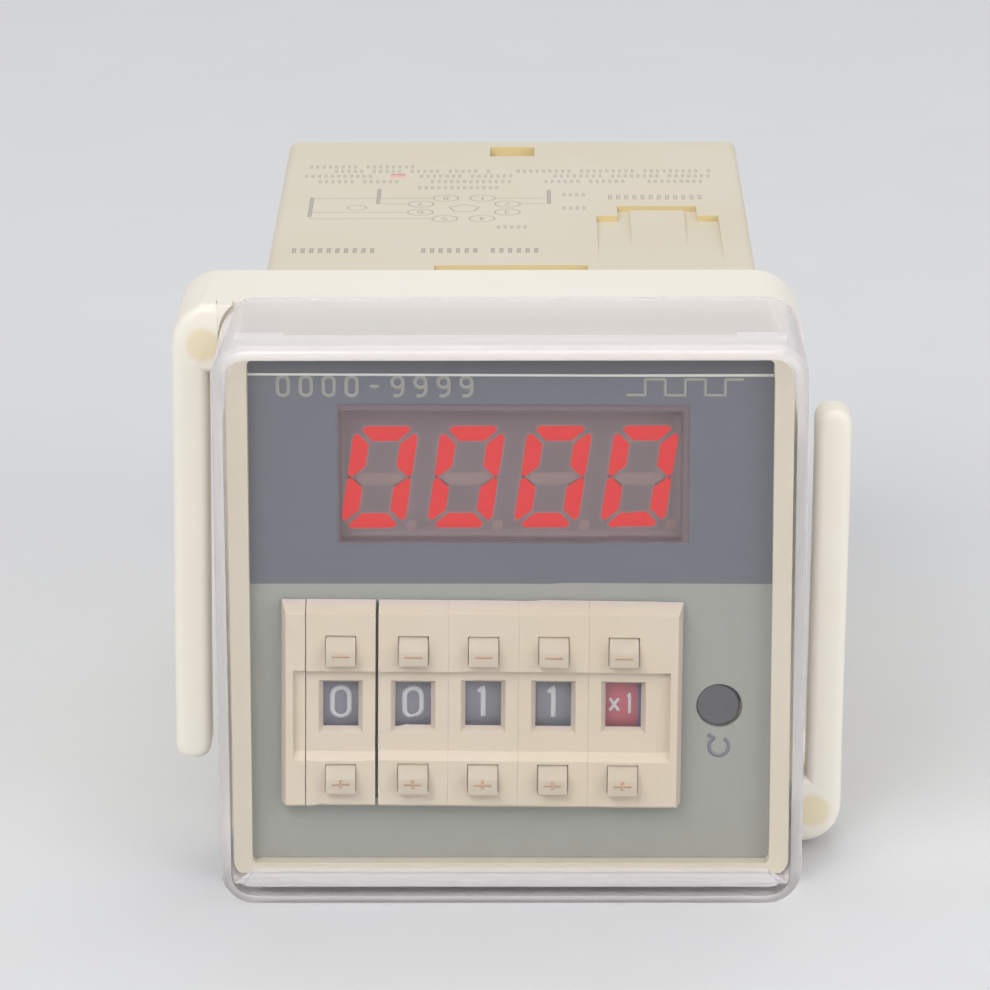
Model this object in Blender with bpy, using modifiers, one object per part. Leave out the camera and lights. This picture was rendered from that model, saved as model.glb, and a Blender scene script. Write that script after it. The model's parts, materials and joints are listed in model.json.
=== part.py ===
"""Panel counter: a 48 mm square plug-in preset counter with its clear cover and mounting bracket.

Lengths are metres. In the counter's own frame X runs to the right, Y runs into the panel and Z runs up,
with the front of the face plate at Y = 0 and the body's centre line along Y. An empty places that frame
so that the whole counter stands on Z = 0 with the middle of its footprint at X = Y = 0.
"""
import bpy
import bmesh
from math import cos, pi, radians, sin
from mathutils import Matrix, Vector

# %% Driving dimensions
FIT = 0.0003                 # gap between pieces that rest on each other
SIDE_FIT = 0.0002            # gap beside a piece that sits in a pocket or slides in a slot
JOINT_LINE = 0.00008         # gap between two thumbwheel units snapped together
FACET_ANGLE = 35             # degrees; edges sharper than this stay sharp

CASE_WALL = 0.0016
CASE_CORNER = 0.0015
CASE_END = 0.0797            # rear face of the case, measured from the face plate

FACE_THICK = 0.0008
FACE_CORNER = 0.0006

BEZEL_SIZE = 0.0480          # outside of the square bezel
BEZEL_CORNER = 0.0016
BEZEL_RIM = 0.0012           # width of the rim round the face plate
BEZEL_SKIRT = 0.0015         # wall round the front end of the case
BEZEL_RIM_PROUD = 0.0013     # how far the rim stands in front of the face plate
BEZEL_WEB = 0.0015           # wall behind the face plate
PANEL_SEAT = 0.0100          # rear face of the bezel, which lies on the panel
POST_RADIUS = 0.0015
POST_INSET = 0.0022          # from the case's inner wall to a post's centre

COVER_WALL = 0.0010
COVER_FRONT_WALL = 0.0015
COVER_STANDOFF = 0.0045      # air between the face plate and the cover's front wall
COVER_CORNER = 0.0030
COVER_EDGE = 0.0010          # fillet round the cover's front face
COVER_BUMP_INSET = 0.0040    # from the cover's side to the middle of a snap bump
COVER_BUMP_LENGTH = 0.0042
COVER_BUMP_RADIUS = 0.0016
COVER_BUMP_PROUD = 0.0003

WINDOW_SIDE = 0.0077         # face plate beside the display window
WINDOW_HEIGHT = 0.01234
WINDOW_X = 0.0002            # centre of the display window
ABOVE_WINDOW_SHARE = 0.128   # share of the face's spare height that lies above the window
BELOW_BLOCK_SHARE = 0.422    # and below the thumbwheel block
FILTER_THICK = 0.0014
FILTER_SINK = 0.0001         # the filter's front lies this far behind the face plate's
DISPLAY_LIP_SIDE = 0.0002    # the display is wider than its window by this much each side
DISPLAY_LIP_TOP = 0.00093    # and taller by this much above and below
DISPLAY_DEPTH = 0.0068
BETWEEN_OPENINGS = 0.0003    # least wall between the display's opening and the block's
BOARD_THICK = 0.0016

BLOCK_LEFT = 0.00284         # from the face plate's left edge to the thumbwheel block
BLOCK_RIGHT = 0.00784        # from the block to the right edge, with the reset button between
BLOCK_TILT = 0.55            # degrees; the block sits slightly turned, its right end lower
BLOCK_HEIGHT = 0.0185
BLOCK_PROUD = 0.0018         # front of the block ahead of the face plate
BLOCK_LEDGE = 0.0007         # the front overhangs the opening by this much, above and below
BLOCK_TOP_SLOPE = 0.0008     # height of the sloped top edge
BLOCK_EDGE = 0.0004          # chamfer of the block's outer side edges
UNIT_COUNT = 5
SLIT = 0.00022               # wider joint beside the first unit
END_WIDTH = 0.0021
END_POCKET = 0.00105         # how far the window band reaches into an end plate
UNIT_BEHIND_WHEEL = 0.0017   # from the wheel to the unit's rear face
UNIT_SIDE_WALL = 0.0007
UNIT_SKIN = 0.0005           # top, bottom and rear walls of a unit
BAND_BELOW_KEY = 0.0007      # the sunk band round the windows starts this far below the minus keys
BAND_ABOVE_KEY = 0.0010      # and ends this far above the plus keys
BAND_SLOPE = 0.0007
BAND_DEPTH = 0.0006
WHEEL_WINDOW_SIDE = 0.00147  # unit beside its window
WHEEL_WINDOW_MARGIN = 0.00175  # band above and below the window
WHEEL_WINDOW_FLARE = 0.0004
WHEEL_WINDOW_WALL = 0.0008
WHEEL_RISE = 0.00035         # the wheel's axis lies this far above the middle of the band
WHEEL_CLEARANCE = 0.00155    # from the wheel to the unit's top and bottom walls, about the middle
WHEEL_SIDE = 0.00117         # unit beside its wheel
WHEEL_BACKSET = 0.0003       # gap between the window wall and the wheel
WHEEL_RIM = 0.0009
WHEEL_WEB = 0.0010
HUB_RADIUS = 0.0026
STUB_RADIUS = 0.0015         # stub on the unit's side wall that carries the wheel
RATCHET_STEP = 0.0013        # the ratchet's radius is smaller than the drum's by this much
RATCHET_TOOTH = 0.0006
RATCHET_WIDTH = 0.0008
POSITIONS = 10

KEY_SIDE = 0.001695          # unit beside its push keys
KEY_HEIGHT = 0.0025
KEY_PROUD = 0.0009
KEY_SLOPE = 0.0009           # height of the sloped upper part
KEY_FOOT_EXTRA = 0.0007      # the foot is wider than the key by this much
KEY_FOOT_THICK = 0.0006
KEY_FOOT_SPAN = 0.0017       # the foot covers this much of the key's height, on the side off the wheel
MINUS_DOWN = 0.0041          # from the block's top to the middle of a minus key
PLUS_UP = 0.0027             # from the block's bottom to the middle of a plus key

RESET_INSET = 0.00477        # from the face plate's right edge to the reset button
RESET_DROP = 0.00045         # the reset button lies this far below the block's centre
RESET_RADIUS = 0.00178
RESET_COLLAR = 0.0026
RESET_COLLAR_THICK = 0.0007
RESET_TRAVEL = 0.0005
RESET_SINK = 0.0001
SWITCH_SIZE = 0.0045
SWITCH_PLUNGER = 0.0010
SWITCH_PLUNGER_LENGTH = 0.0008

BRACKET_GAP = 0.0021         # from the bezel's rear face to the bracket pushed up behind it
BRACKET_DEPTH = 0.0082       # the ring along the case
BRACKET_SIDE = 0.0030        # wall of the ring beside the case
BRACKET_TOP = 0.0023         # wall of the ring above and below the case
BRACKET_CORNER = 0.0042
BRACKET_EAR_CORNER = 0.0035
BRACKET_EAR_HEIGHT = 0.0062
BRACKET_EAR_REACH = 0.0038   # an ear reaches this far ahead of the ring
ARM_SLOT = 0.0007            # slot between the ring and a spring arm
ARM_WIDTH = 0.0031
ARM_SHORT = 0.0089           # an arm ends this far short of the ring's far edge
ARM_TIP_ROUND = 0.0013
ARM_THICK = 0.0036
ARM_BOW = 0.0025             # the tip lies this far ahead of the root
ARM_FLARE = 0.0002
ARM_STEPS = 10

BASE_MARGIN = 0.0047         # from the case's inner wall to the raised round base of the plug
BASE_PROUD = 0.0015
BASE_FLANGE = 0.0014
BASE_FLANGE_THICK = 0.0018
SPIGOT_RADIUS = 0.0040
SPIGOT_LENGTH = 0.0143       # from the case's rear face to the spigot's tip
SPIGOT_BORE = 0.0026
KEY_RIB_WIDTH = 0.0016
KEY_RIB_PROUD = 0.0009
PIN_COUNT = 8
PIN_CIRCLE = 0.008725        # radius of the pin circle
PIN_RADIUS = 0.00118
PIN_LENGTH = 0.0125          # from the case's rear face to a pin's tip
PIN_TAIL = 0.0045            # from the case's rear face inward

MAIN_BOARD_UP = 0.0047       # from the case's inner wall to the underside of the main board
MAIN_BOARD_GAP = 0.0014      # from the switch board to the main board
MAIN_BOARD_SHORT = 0.0057    # from the main board to the case's rear face
LEDGE_HEIGHT = 0.0012
LEDGE_WIDTH = 0.0018
SWITCH_BOARD_THICK = 0.0012

RATCHET_BEHIND = 0.0037      # saw teeth on the case's sides start this far behind the bracket
RATCHET_PITCH = 0.0020
RATCHET_COUNT = 14
RATCHET_DEPTH = 0.0007
RATCHET_HALF_HEIGHT = 0.0060

SNAP_WIDTH = 0.0044          # snap recess in the top and bottom of the case, near the rear
SNAP_LENGTH = 0.0038
SNAP_FROM_REAR = 0.0022
SNAP_DEPTH = 0.0010
SLOT_WIDTH = 0.0140          # narrow slot in the top and bottom of the case, behind the bracket
SLOT_LENGTH = 0.0018
SLOT_BEHIND = 0.0096
SLOT_DEPTH = 0.0006

RECESS_WIDTH = 0.0115        # recess in the top of the case round the selector's cap
RECESS_INSET = 0.0028        # from the case's side
RECESS_BEHIND = 0.0127       # from the bracket's rear
RECESS_RAMP = 0.0209         # its floor slopes down over this length
RECESS_LENGTH = 0.0255
RECESS_STEP = 0.0012
RECESS_DEPTH = 0.0009
TONGUE_LEFT = 0.0027         # the cap's sides, from the recess's sides
TONGUE_RIGHT = 0.0021
TONGUE_SINK = 0.0003         # the cap's top, from the case's
TONGUE_ROOT = 0.0003         # the cap reaches this far into the recess's floor

WALL_GAP = 0.0004            # from the transformer and the relay to the case's inner wall
CORE_WIDTH = 0.0220          # transformer core
CORE_LENGTH = 0.0120
CORE_HEIGHT = 0.0185
CORE_AHEAD = 0.0195          # from the main board's rear to the middle of the transformer
COIL_LENGTH = 0.0190
COIL_WIDTH = 0.0150
COIL_HEIGHT = 0.0125
COIL_CORNER = 0.0021
RELAY_WIDTH = 0.0100
RELAY_LENGTH = 0.0200
RELAY_HEIGHT = 0.0155
RELAY_EDGE = 0.0004
RELAY_AHEAD = 0.0200
CAPACITOR_RADIUS = 0.0050
CAPACITOR_HEIGHT = 0.0125
CAPACITOR_EDGE = 0.0005
CAPACITOR_INSET = 0.0117     # from the case's inner wall
CAPACITOR_BEHIND = 0.0060    # from the main board's front

# %% Sizes that follow from them
FACE_SIZE = BEZEL_SIZE - 2 * (BEZEL_RIM + SIDE_FIT)
CASE_SIZE = BEZEL_SIZE - 2 * (BEZEL_SKIRT + SIDE_FIT)
COVER_INSIDE = BEZEL_SIZE + 2 * SIDE_FIT
COVER_SIZE = COVER_INSIDE + 2 * COVER_WALL
HALF_FACE = FACE_SIZE / 2
HALF_CASE = CASE_SIZE / 2
CASE_INSIDE = HALF_CASE - CASE_WALL
BRACKET_WIDTH = CASE_SIZE + 2 * (FIT + BRACKET_SIDE)
BRACKET_HEIGHT = CASE_SIZE + 2 * (FIT + BRACKET_TOP)
BRACKET_FRONT = PANEL_SEAT + BRACKET_GAP
BRACKET_REAR = BRACKET_FRONT + BRACKET_DEPTH
BRACKET_EAR_FRONT = BRACKET_FRONT - BRACKET_EAR_REACH
ARM_OUTER = BRACKET_WIDTH / 2 + ARM_SLOT + ARM_WIDTH
ARM_TIP = BRACKET_HEIGHT / 2 - ARM_SHORT
WEB_FRONT = FACE_THICK + FIT
WEB_REAR = WEB_FRONT + BEZEL_WEB
CASE_START = WEB_REAR + FIT
COVER_FACE = -COVER_STANDOFF - COVER_FRONT_WALL
COVER_REAR = PANEL_SEAT
COVER_BUMP_X = COVER_SIZE / 2 - COVER_BUMP_INSET
DISPLAY_FRONT = FILTER_SINK + FILTER_THICK + FIT
BOARD_FRONT = DISPLAY_FRONT + DISPLAY_DEPTH + FIT
WINDOW_WIDTH = FACE_SIZE - 2 * WINDOW_SIDE
DISPLAY_WIDTH = WINDOW_WIDTH + 2 * DISPLAY_LIP_SIDE
DISPLAY_HEIGHT = WINDOW_HEIGHT + 2 * DISPLAY_LIP_TOP
BLOCK_WIDTH = FACE_SIZE - BLOCK_LEFT - BLOCK_RIGHT
BLOCK_X = (BLOCK_LEFT - BLOCK_RIGHT) / 2
UNIT_WIDTH = (BLOCK_WIDTH - 2 * END_WIDTH - SLIT) / UNIT_COUNT - JOINT_LINE
OPENING_SLACK = BLOCK_WIDTH / 2 * sin(radians(BLOCK_TILT))

# Window above, thumbwheel block below: each keeps the least room that it needs, and shares what is spare
ROOM_TOP = HALF_FACE - CASE_INSIDE + FIT + DISPLAY_LIP_TOP
ROOM_BETWEEN = DISPLAY_LIP_TOP + FIT + BETWEEN_OPENINGS + SIDE_FIT + OPENING_SLACK - BLOCK_LEDGE
ROOM_BOTTOM = HALF_FACE - CASE_INSIDE + FIT + OPENING_SLACK - BLOCK_LEDGE
SPARE = FACE_SIZE - WINDOW_HEIGHT - BLOCK_HEIGHT - ROOM_TOP - ROOM_BETWEEN - ROOM_BOTTOM
WINDOW_Z = HALF_FACE - ROOM_TOP - ABOVE_WINDOW_SHARE * SPARE - WINDOW_HEIGHT / 2
BLOCK_Z = -HALF_FACE + ROOM_BOTTOM + BELOW_BLOCK_SHARE * SPARE + BLOCK_HEIGHT / 2
RESET_X = HALF_FACE - RESET_INSET
RESET_Z = BLOCK_Z - RESET_DROP

# Inside the block, from its centre
MINUS_Z = BLOCK_HEIGHT / 2 - MINUS_DOWN
PLUS_Z = -BLOCK_HEIGHT / 2 + PLUS_UP
BAND_TOP = MINUS_Z - KEY_HEIGHT / 2 - BAND_BELOW_KEY
BAND_BOTTOM = PLUS_Z + KEY_HEIGHT / 2 + BAND_ABOVE_KEY
LEDGE_FACE = -FIT
BAND_FACE = -BLOCK_PROUD + BAND_DEPTH
WHEEL_RADIUS = BLOCK_HEIGHT / 2 - BLOCK_LEDGE - UNIT_SKIN - WHEEL_CLEARANCE
WHEEL_WIDTH = UNIT_WIDTH - 2 * WHEEL_SIDE
WHEEL_Z = (BAND_TOP + BAND_BOTTOM) / 2 + WHEEL_RISE
WHEEL_Y = BAND_FACE + WHEEL_WINDOW_WALL + WHEEL_BACKSET + WHEEL_RADIUS
WHEEL_WINDOW_WIDTH = UNIT_WIDTH - 2 * WHEEL_WINDOW_SIDE
WHEEL_WINDOW_HEIGHT = BAND_TOP - BAND_BOTTOM - 2 * WHEEL_WINDOW_MARGIN
RATCHET_RADIUS = WHEEL_RADIUS - RATCHET_STEP
KEY_WIDTH = UNIT_WIDTH - 2 * KEY_SIDE
CAVITY_FRONT = BAND_FACE + WHEEL_WINDOW_WALL
UNIT_REAR = WHEEL_Y + WHEEL_RADIUS + UNIT_BEHIND_WHEEL

# Behind the front
BASE_RADIUS = CASE_INSIDE - BASE_MARGIN
MAIN_BOARD_Z = -CASE_INSIDE + MAIN_BOARD_UP
MAIN_BOARD_FRONT = UNIT_REAR + FIT + SWITCH_BOARD_THICK + MAIN_BOARD_GAP
MAIN_BOARD_REAR = CASE_END - MAIN_BOARD_SHORT
RATCHET_START = BRACKET_REAR + RATCHET_BEHIND
SNAP_END = CASE_END - SNAP_FROM_REAR
SNAP_START = SNAP_END - SNAP_LENGTH
SLOT_START = BRACKET_REAR + SLOT_BEHIND
SLOT_END = SLOT_START + SLOT_LENGTH
RECESS_RIGHT = HALF_CASE - RECESS_INSET
RECESS_LEFT = RECESS_RIGHT - RECESS_WIDTH
RECESS_START = BRACKET_REAR + RECESS_BEHIND
RECESS_SHOULDER = RECESS_START + RECESS_RAMP
RECESS_END = RECESS_START + RECESS_LENGTH
TRANSFORMER_X = -CASE_INSIDE + WALL_GAP + CORE_WIDTH / 2
TRANSFORMER_Y = MAIN_BOARD_REAR - CORE_AHEAD
RELAY_X = CASE_INSIDE - WALL_GAP - RELAY_WIDTH / 2
RELAY_Y = MAIN_BOARD_REAR - RELAY_AHEAD
CAPACITOR_X = -CASE_INSIDE + CAPACITOR_INSET
CAPACITOR_Y = MAIN_BOARD_FRONT + CAPACITOR_BEHIND
SPIGOT_END = CASE_END + SPIGOT_LENGTH
FOOTPRINT_MIDDLE = (COVER_FACE + SPIGOT_END) / 2
AXIS_HEIGHT = COVER_SIZE / 2 + COVER_BUMP_PROUD

# %% Clean start, collections and frames
for old in list(bpy.data.objects):
    bpy.data.objects.remove(old, do_unlink=True)

parts = bpy.data.collections.new("panel_counter")
cutters = bpy.data.collections.new("cutters")
bpy.context.scene.collection.children.link(parts)
bpy.context.scene.collection.children.link(cutters)


def add_frame(name, location, parent=None, turn=0.0):
    """An empty that carries other objects; turn is in degrees about Y."""
    empty = bpy.data.objects.new(name, None)
    empty.empty_display_size = 0.01
    empty.location = location
    empty.rotation_euler = (0.0, radians(turn), 0.0)
    empty.parent = parent
    parts.objects.link(empty)
    return empty


counter = add_frame("counter_frame", (0.0, -FOOTPRINT_MIDDLE, AXIS_HEIGHT))
block = add_frame("thumbwheel_frame", (BLOCK_X, 0.0, BLOCK_Z), counter, BLOCK_TILT)


# %% Materials
def linear(value):
    """One sRGB channel, 0 to 255, as a linear value."""
    share = value / 255
    return share / 12.92 if share <= 0.04045 else ((share + 0.055) / 1.055) ** 2.4


def make_material(name, red, green, blue, roughness, metallic=0.0, alpha=1.0):
    material = bpy.data.materials.new(name)
    material.use_nodes = True
    shader = material.node_tree.nodes["Principled BSDF"]
    shader.inputs["Base Color"].default_value = (linear(red), linear(green), linear(blue), 1.0)
    shader.inputs["Roughness"].default_value = roughness
    shader.inputs["Metallic"].default_value = metallic
    shader.inputs["Alpha"].default_value = alpha
    return material


CASE_PLASTIC = make_material("case_plastic", 222, 214, 197, 0.45)
BRACKET_PLASTIC = make_material("bracket_plastic", 240, 235, 225, 0.45)
CLEAR_PLASTIC = make_material("clear_plastic", 235, 233, 240, 0.05, alpha=0.25)
PLATE_PRINT = make_material("plate_print", 124, 128, 138, 0.5)
FILTER_TINT = make_material("filter_tint", 139, 127, 128, 0.2, alpha=0.6)
LED_PLASTIC = make_material("led_plastic", 150, 140, 140, 0.5)
WHEEL_BEIGE = make_material("wheel_beige", 214, 200, 178, 0.45)
WHEEL_GREY = make_material("wheel_grey", 136, 136, 146, 0.5)
WHEEL_RED = make_material("wheel_red", 176, 96, 112, 0.5)
RUBBER_GREY = make_material("rubber_grey", 100, 98, 102, 0.7)
BOARD_GREEN = make_material("board_green", 40, 90, 55, 0.5)
BASE_BROWN = make_material("base_brown", 60, 48, 42, 0.4)
PIN_METAL = make_material("pin_metal", 200, 198, 190, 0.25, metallic=1.0)
CORE_STEEL = make_material("core_steel", 120, 118, 115, 0.5, metallic=0.6)
RELAY_BLUE = make_material("relay_blue", 40, 70, 130, 0.4)
CAN_BLACK = make_material("can_black", 30, 30, 34, 0.4)


# %% Shape helpers
def add_object(name, mesh, material=None, origin=(0.0, 0.0, 0.0), parent=counter):
    """Link a mesh whose coordinates are in the parent's frame, with its origin at a given point."""
    mesh.transform(Matrix.Translation(-Vector(origin)))
    mesh.set_sharp_from_angle(angle=radians(FACET_ANGLE))
    thing = bpy.data.objects.new(name, mesh)
    thing.location = origin
    thing.parent = parent
    if material is None:
        cutters.objects.link(thing)
        thing.hide_render = True
        thing.display_type = "WIRE"
    else:
        mesh.materials.append(material)
        parts.objects.link(thing)
    return thing


def finish_mesh(name, form):
    mesh = bpy.data.meshes.new(name)
    form.to_mesh(mesh)
    form.free()
    mesh.shade_smooth()
    return mesh


def box_mesh(name, x, y, z, corner=0.0, steps=5, along="Y"):
    """A box between pairs of limits; corner rounds the four edges that run along one axis."""
    form = bmesh.new()
    bmesh.ops.create_cube(form, size=1.0)
    size = Vector((x[1] - x[0], y[1] - y[0], z[1] - z[0]))
    middle = Vector((x[1] + x[0], y[1] + y[0], z[1] + z[0])) / 2
    bmesh.ops.scale(form, vec=size, verts=form.verts)
    bmesh.ops.translate(form, vec=middle, verts=form.verts)
    if corner:
        axis = "XYZ".index(along)
        edges = [edge for edge in form.edges
                 if abs((edge.verts[0].co - edge.verts[1].co)[axis]) > size[axis] / 2]
        bmesh.ops.bevel(form, geom=edges, offset=corner, segments=steps, profile=0.5, affect="EDGES")
    return finish_mesh(name, form)


def cylinder_mesh(name, radius, start, end, centre=(0.0, 0.0), steps=32, along="Y", tip=0.0):
    """A cylinder between two places on an axis; centre holds the other two coordinates in order."""
    form = bmesh.new()
    bmesh.ops.create_cone(form, cap_ends=True, segments=steps, radius1=radius, radius2=radius,
                          depth=end - start)
    if tip:
        rim = [edge for edge in form.edges if all(vert.co.z > 0 for vert in edge.verts)]
        bmesh.ops.bevel(form, geom=rim, offset=tip, segments=3, profile=0.5, affect="EDGES")
    middle = (start + end) / 2
    if along == "Y":
        turn = Matrix.Rotation(-pi / 2, 4, "X")
        place = Vector((centre[0], middle, centre[1]))
    elif along == "X":
        turn = Matrix.Rotation(pi / 2, 4, "Y")
        place = Vector((middle, centre[0], centre[1]))
    else:
        turn = Matrix.Identity(4)
        place = Vector((centre[0], centre[1], middle))
    bmesh.ops.transform(form, matrix=Matrix.Translation(place) @ turn, verts=form.verts)
    return finish_mesh(name, form)


def outline_mesh(name, points, start, end, along="X"):
    """Extrude a closed outline along X, Y or Z. Its points are (Y, Z), (X, Z) or (X, Y)."""
    curve = bpy.data.curves.new(name, "CURVE")
    curve.dimensions = "2D"
    curve.fill_mode = "BOTH"
    curve.extrude = (end - start) / 2
    line = curve.splines.new("POLY")
    line.points.add(len(points) - 1)
    for spot, (across, up) in zip(line.points, points):
        spot.co = (across, up, 0.0, 1.0)
    line.use_cyclic_u = True
    holder = bpy.data.objects.new(name, curve)
    cutters.objects.link(holder)
    bpy.context.view_layer.update()
    solid = holder.evaluated_get(bpy.context.evaluated_depsgraph_get())
    mesh = bpy.data.meshes.new_from_object(solid)
    bpy.data.objects.remove(holder)
    middle = (start + end) / 2
    if along == "X":
        turn = Matrix(((0, 0, 1, middle), (1, 0, 0, 0), (0, 1, 0, 0), (0, 0, 0, 1)))
    elif along == "Y":
        turn = Matrix(((1, 0, 0, 0), (0, 0, -1, middle), (0, 1, 0, 0), (0, 0, 0, 1)))
    else:
        turn = Matrix.Translation((0, 0, middle))
    form = bmesh.new()
    form.from_mesh(mesh)
    bmesh.ops.remove_doubles(form, verts=form.verts, dist=0.000001)
    bmesh.ops.transform(form, matrix=turn, verts=form.verts)
    bmesh.ops.recalc_face_normals(form, faces=form.faces)
    bpy.data.meshes.remove(mesh)
    return finish_mesh(name, form)


def combine(target, tool, operation):
    step = target.modifiers.new(tool.name, "BOOLEAN")
    step.operation = operation
    step.solver = "EXACT"
    step.object = tool


def cut(target, name, mesh, parent=counter):
    """Take a shape away from a piece."""
    combine(target, add_object(name, mesh, parent=parent), "DIFFERENCE")


def fuse(target, name, mesh, parent=counter):
    """Join a shape to a piece."""
    combine(target, add_object(name, mesh, parent=parent), "UNION")


def soften(target, width, steps=2, angle=40):
    """Round the sharp edges of a piece."""
    step = target.modifiers.new("edges", "BEVEL")
    step.width = width
    step.segments = steps
    step.limit_method = "ANGLE"
    step.angle_limit = radians(angle)
    step.use_clamp_overlap = True


def around(middle, width):
    """Both limits of a width about its middle."""
    return (middle - width / 2, middle + width / 2)


# %% Clear cover: a thin shell, open at the rear, that clips over the bezel
def build_cover():
    mesh = box_mesh("clear_cover", around(0, COVER_SIZE), (COVER_FACE, COVER_REAR),
                    around(0, COVER_SIZE), COVER_CORNER, 6)
    form = bmesh.new()
    form.from_mesh(mesh)
    front = [edge for edge in form.edges if all(abs(vert.co.y - COVER_FACE) < 1e-6 for vert in edge.verts)]
    bmesh.ops.bevel(form, geom=front, offset=COVER_EDGE, segments=4, profile=0.5, affect="EDGES")
    form.to_mesh(mesh)
    form.free()
    mesh.shade_smooth()
    cover = add_object("clear_cover", mesh, CLEAR_PLASTIC, (0.0, PANEL_SEAT, 0.0))
    for side in (-1, 1):
        for level in (-1, 1):
            surface = level * (COVER_SIZE / 2 + COVER_BUMP_PROUD - COVER_BUMP_RADIUS)
            bump = cylinder_mesh("cover_bump", COVER_BUMP_RADIUS,
                                 side * COVER_BUMP_X - COVER_BUMP_LENGTH / 2,
                                 side * COVER_BUMP_X + COVER_BUMP_LENGTH / 2,
                                 (COVER_FACE + 2 * COVER_EDGE + COVER_BUMP_RADIUS, surface), 20, "X")
            fuse(cover, "cover_bump", bump)
    cut(cover, "cover_hollow",
        box_mesh("cover_hollow", around(0, COVER_INSIDE), (-COVER_STANDOFF, COVER_REAR + COVER_WALL),
                 around(0, COVER_INSIDE), BEZEL_CORNER + SIDE_FIT, 6))
    return cover


# %% Bezel and face plate
def block_opening(extra):
    """Limits of the opening for the thumbwheel block, in the counter's frame."""
    x = around(BLOCK_X, BLOCK_WIDTH - 2 * BLOCK_LEDGE + 2 * (SIDE_FIT + extra))
    z = around(BLOCK_Z, BLOCK_HEIGHT - 2 * BLOCK_LEDGE + 2 * (SIDE_FIT + extra) + 2 * OPENING_SLACK)
    return x, z


def build_bezel():
    bezel = add_object("front_bezel",
                       box_mesh("front_bezel", around(0, BEZEL_SIZE), (-BEZEL_RIM_PROUD, PANEL_SEAT),
                                around(0, BEZEL_SIZE), BEZEL_CORNER, 5),
                       CASE_PLASTIC, (0.0, PANEL_SEAT, 0.0))
    pocket = around(0, FACE_SIZE + 2 * SIDE_FIT)
    cut(bezel, "plate_pocket",
        box_mesh("plate_pocket", pocket, (-2 * BEZEL_RIM_PROUD, WEB_FRONT), pocket, FACE_CORNER, 3))
    socket = around(0, CASE_SIZE + 2 * SIDE_FIT)
    cut(bezel, "case_socket",
        box_mesh("case_socket", socket, (WEB_REAR, PANEL_SEAT + BEZEL_WEB), socket, CASE_CORNER, 4))
    cut(bezel, "display_opening",
        box_mesh("display_opening", around(WINDOW_X, DISPLAY_WIDTH + 2 * FIT), (0.0, CASE_START),
                 around(WINDOW_Z, DISPLAY_HEIGHT + 2 * FIT)))
    x, z = block_opening(0.0)
    cut(bezel, "block_opening", box_mesh("block_opening", x, (0.0, CASE_START), z))
    cut(bezel, "reset_opening",
        cylinder_mesh("reset_opening", RESET_RADIUS + SIDE_FIT, 0.0, CASE_START, (RESET_X, RESET_Z), 28))
    reach = CASE_INSIDE - POST_INSET
    for x, z in ((-reach, reach), (reach, reach), (reach, -reach)):
        fuse(bezel, "board_post",
             cylinder_mesh("board_post", POST_RADIUS, WEB_REAR - BEZEL_WEB / 2, BOARD_FRONT - FIT, (x, z), 20))
    return bezel


def build_face_plate():
    side = around(0, FACE_SIZE)
    plate = add_object("face_plate",
                       box_mesh("face_plate", side, (0.0, FACE_THICK), side, FACE_CORNER, 3), PLATE_PRINT)
    cut(plate, "display_window",
        box_mesh("display_window", around(WINDOW_X, WINDOW_WIDTH), (-FACE_THICK, 2 * FACE_THICK),
                 around(WINDOW_Z, WINDOW_HEIGHT)))
    x, z = block_opening(0.0)
    cut(plate, "plate_block_opening",
        box_mesh("plate_block_opening", x, (-FACE_THICK, 2 * FACE_THICK), z))
    cut(plate, "plate_reset_opening",
        cylinder_mesh("plate_reset_opening", RESET_RADIUS + SIDE_FIT, -FACE_THICK, 2 * FACE_THICK,
                      (RESET_X, RESET_Z), 28))
    return plate


def build_display():
    add_object("display_filter",
               box_mesh("display_filter", around(WINDOW_X, WINDOW_WIDTH - 2 * SIDE_FIT),
                        (FILTER_SINK, FILTER_SINK + FILTER_THICK),
                        around(WINDOW_Z, WINDOW_HEIGHT - 2 * SIDE_FIT)), FILTER_TINT)
    add_object("led_display",
               box_mesh("led_display", around(WINDOW_X, DISPLAY_WIDTH),
                        (DISPLAY_FRONT, DISPLAY_FRONT + DISPLAY_DEPTH),
                        around(WINDOW_Z, DISPLAY_HEIGHT)), LED_PLASTIC)


def build_display_board():
    """An L-shaped board: a bar behind the display and a leg behind the reset button."""
    edge = CASE_INSIDE - FIT
    x, z = block_opening(FIT)
    points = ((-edge, z[1]), (x[1] + BLOCK_LEDGE, z[1]), (x[1] + BLOCK_LEDGE, -edge),
              (edge, -edge), (edge, edge), (-edge, edge))
    add_object("display_board",
               outline_mesh("display_board", points, BOARD_FRONT, BOARD_FRONT + BOARD_THICK, "Y"),
               BOARD_GREEN)


# %% Thumbwheel block
def unit_x(index):
    """Centre of a unit in the block's frame."""
    start = -BLOCK_WIDTH / 2 + END_WIDTH + JOINT_LINE
    slit = SLIT if index > 0 else 0.0
    return start + index * (UNIT_WIDTH + JOINT_LINE) + slit + UNIT_WIDTH / 2


def block_profile(rear):
    """Side view of the block, as (Y, Z), with its sloped top and an overhang in front of the plate."""
    top = BLOCK_HEIGHT / 2
    inner = top - BLOCK_LEDGE
    return ((LEDGE_FACE, top), (-BLOCK_PROUD, top - BLOCK_TOP_SLOPE), (-BLOCK_PROUD, -top + BLOCK_EDGE / 2),
            (-BLOCK_PROUD + BLOCK_EDGE / 2, -top), (LEDGE_FACE, -top), (LEDGE_FACE, -inner),
            (rear, -inner), (rear, inner), (LEDGE_FACE, inner))


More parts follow.
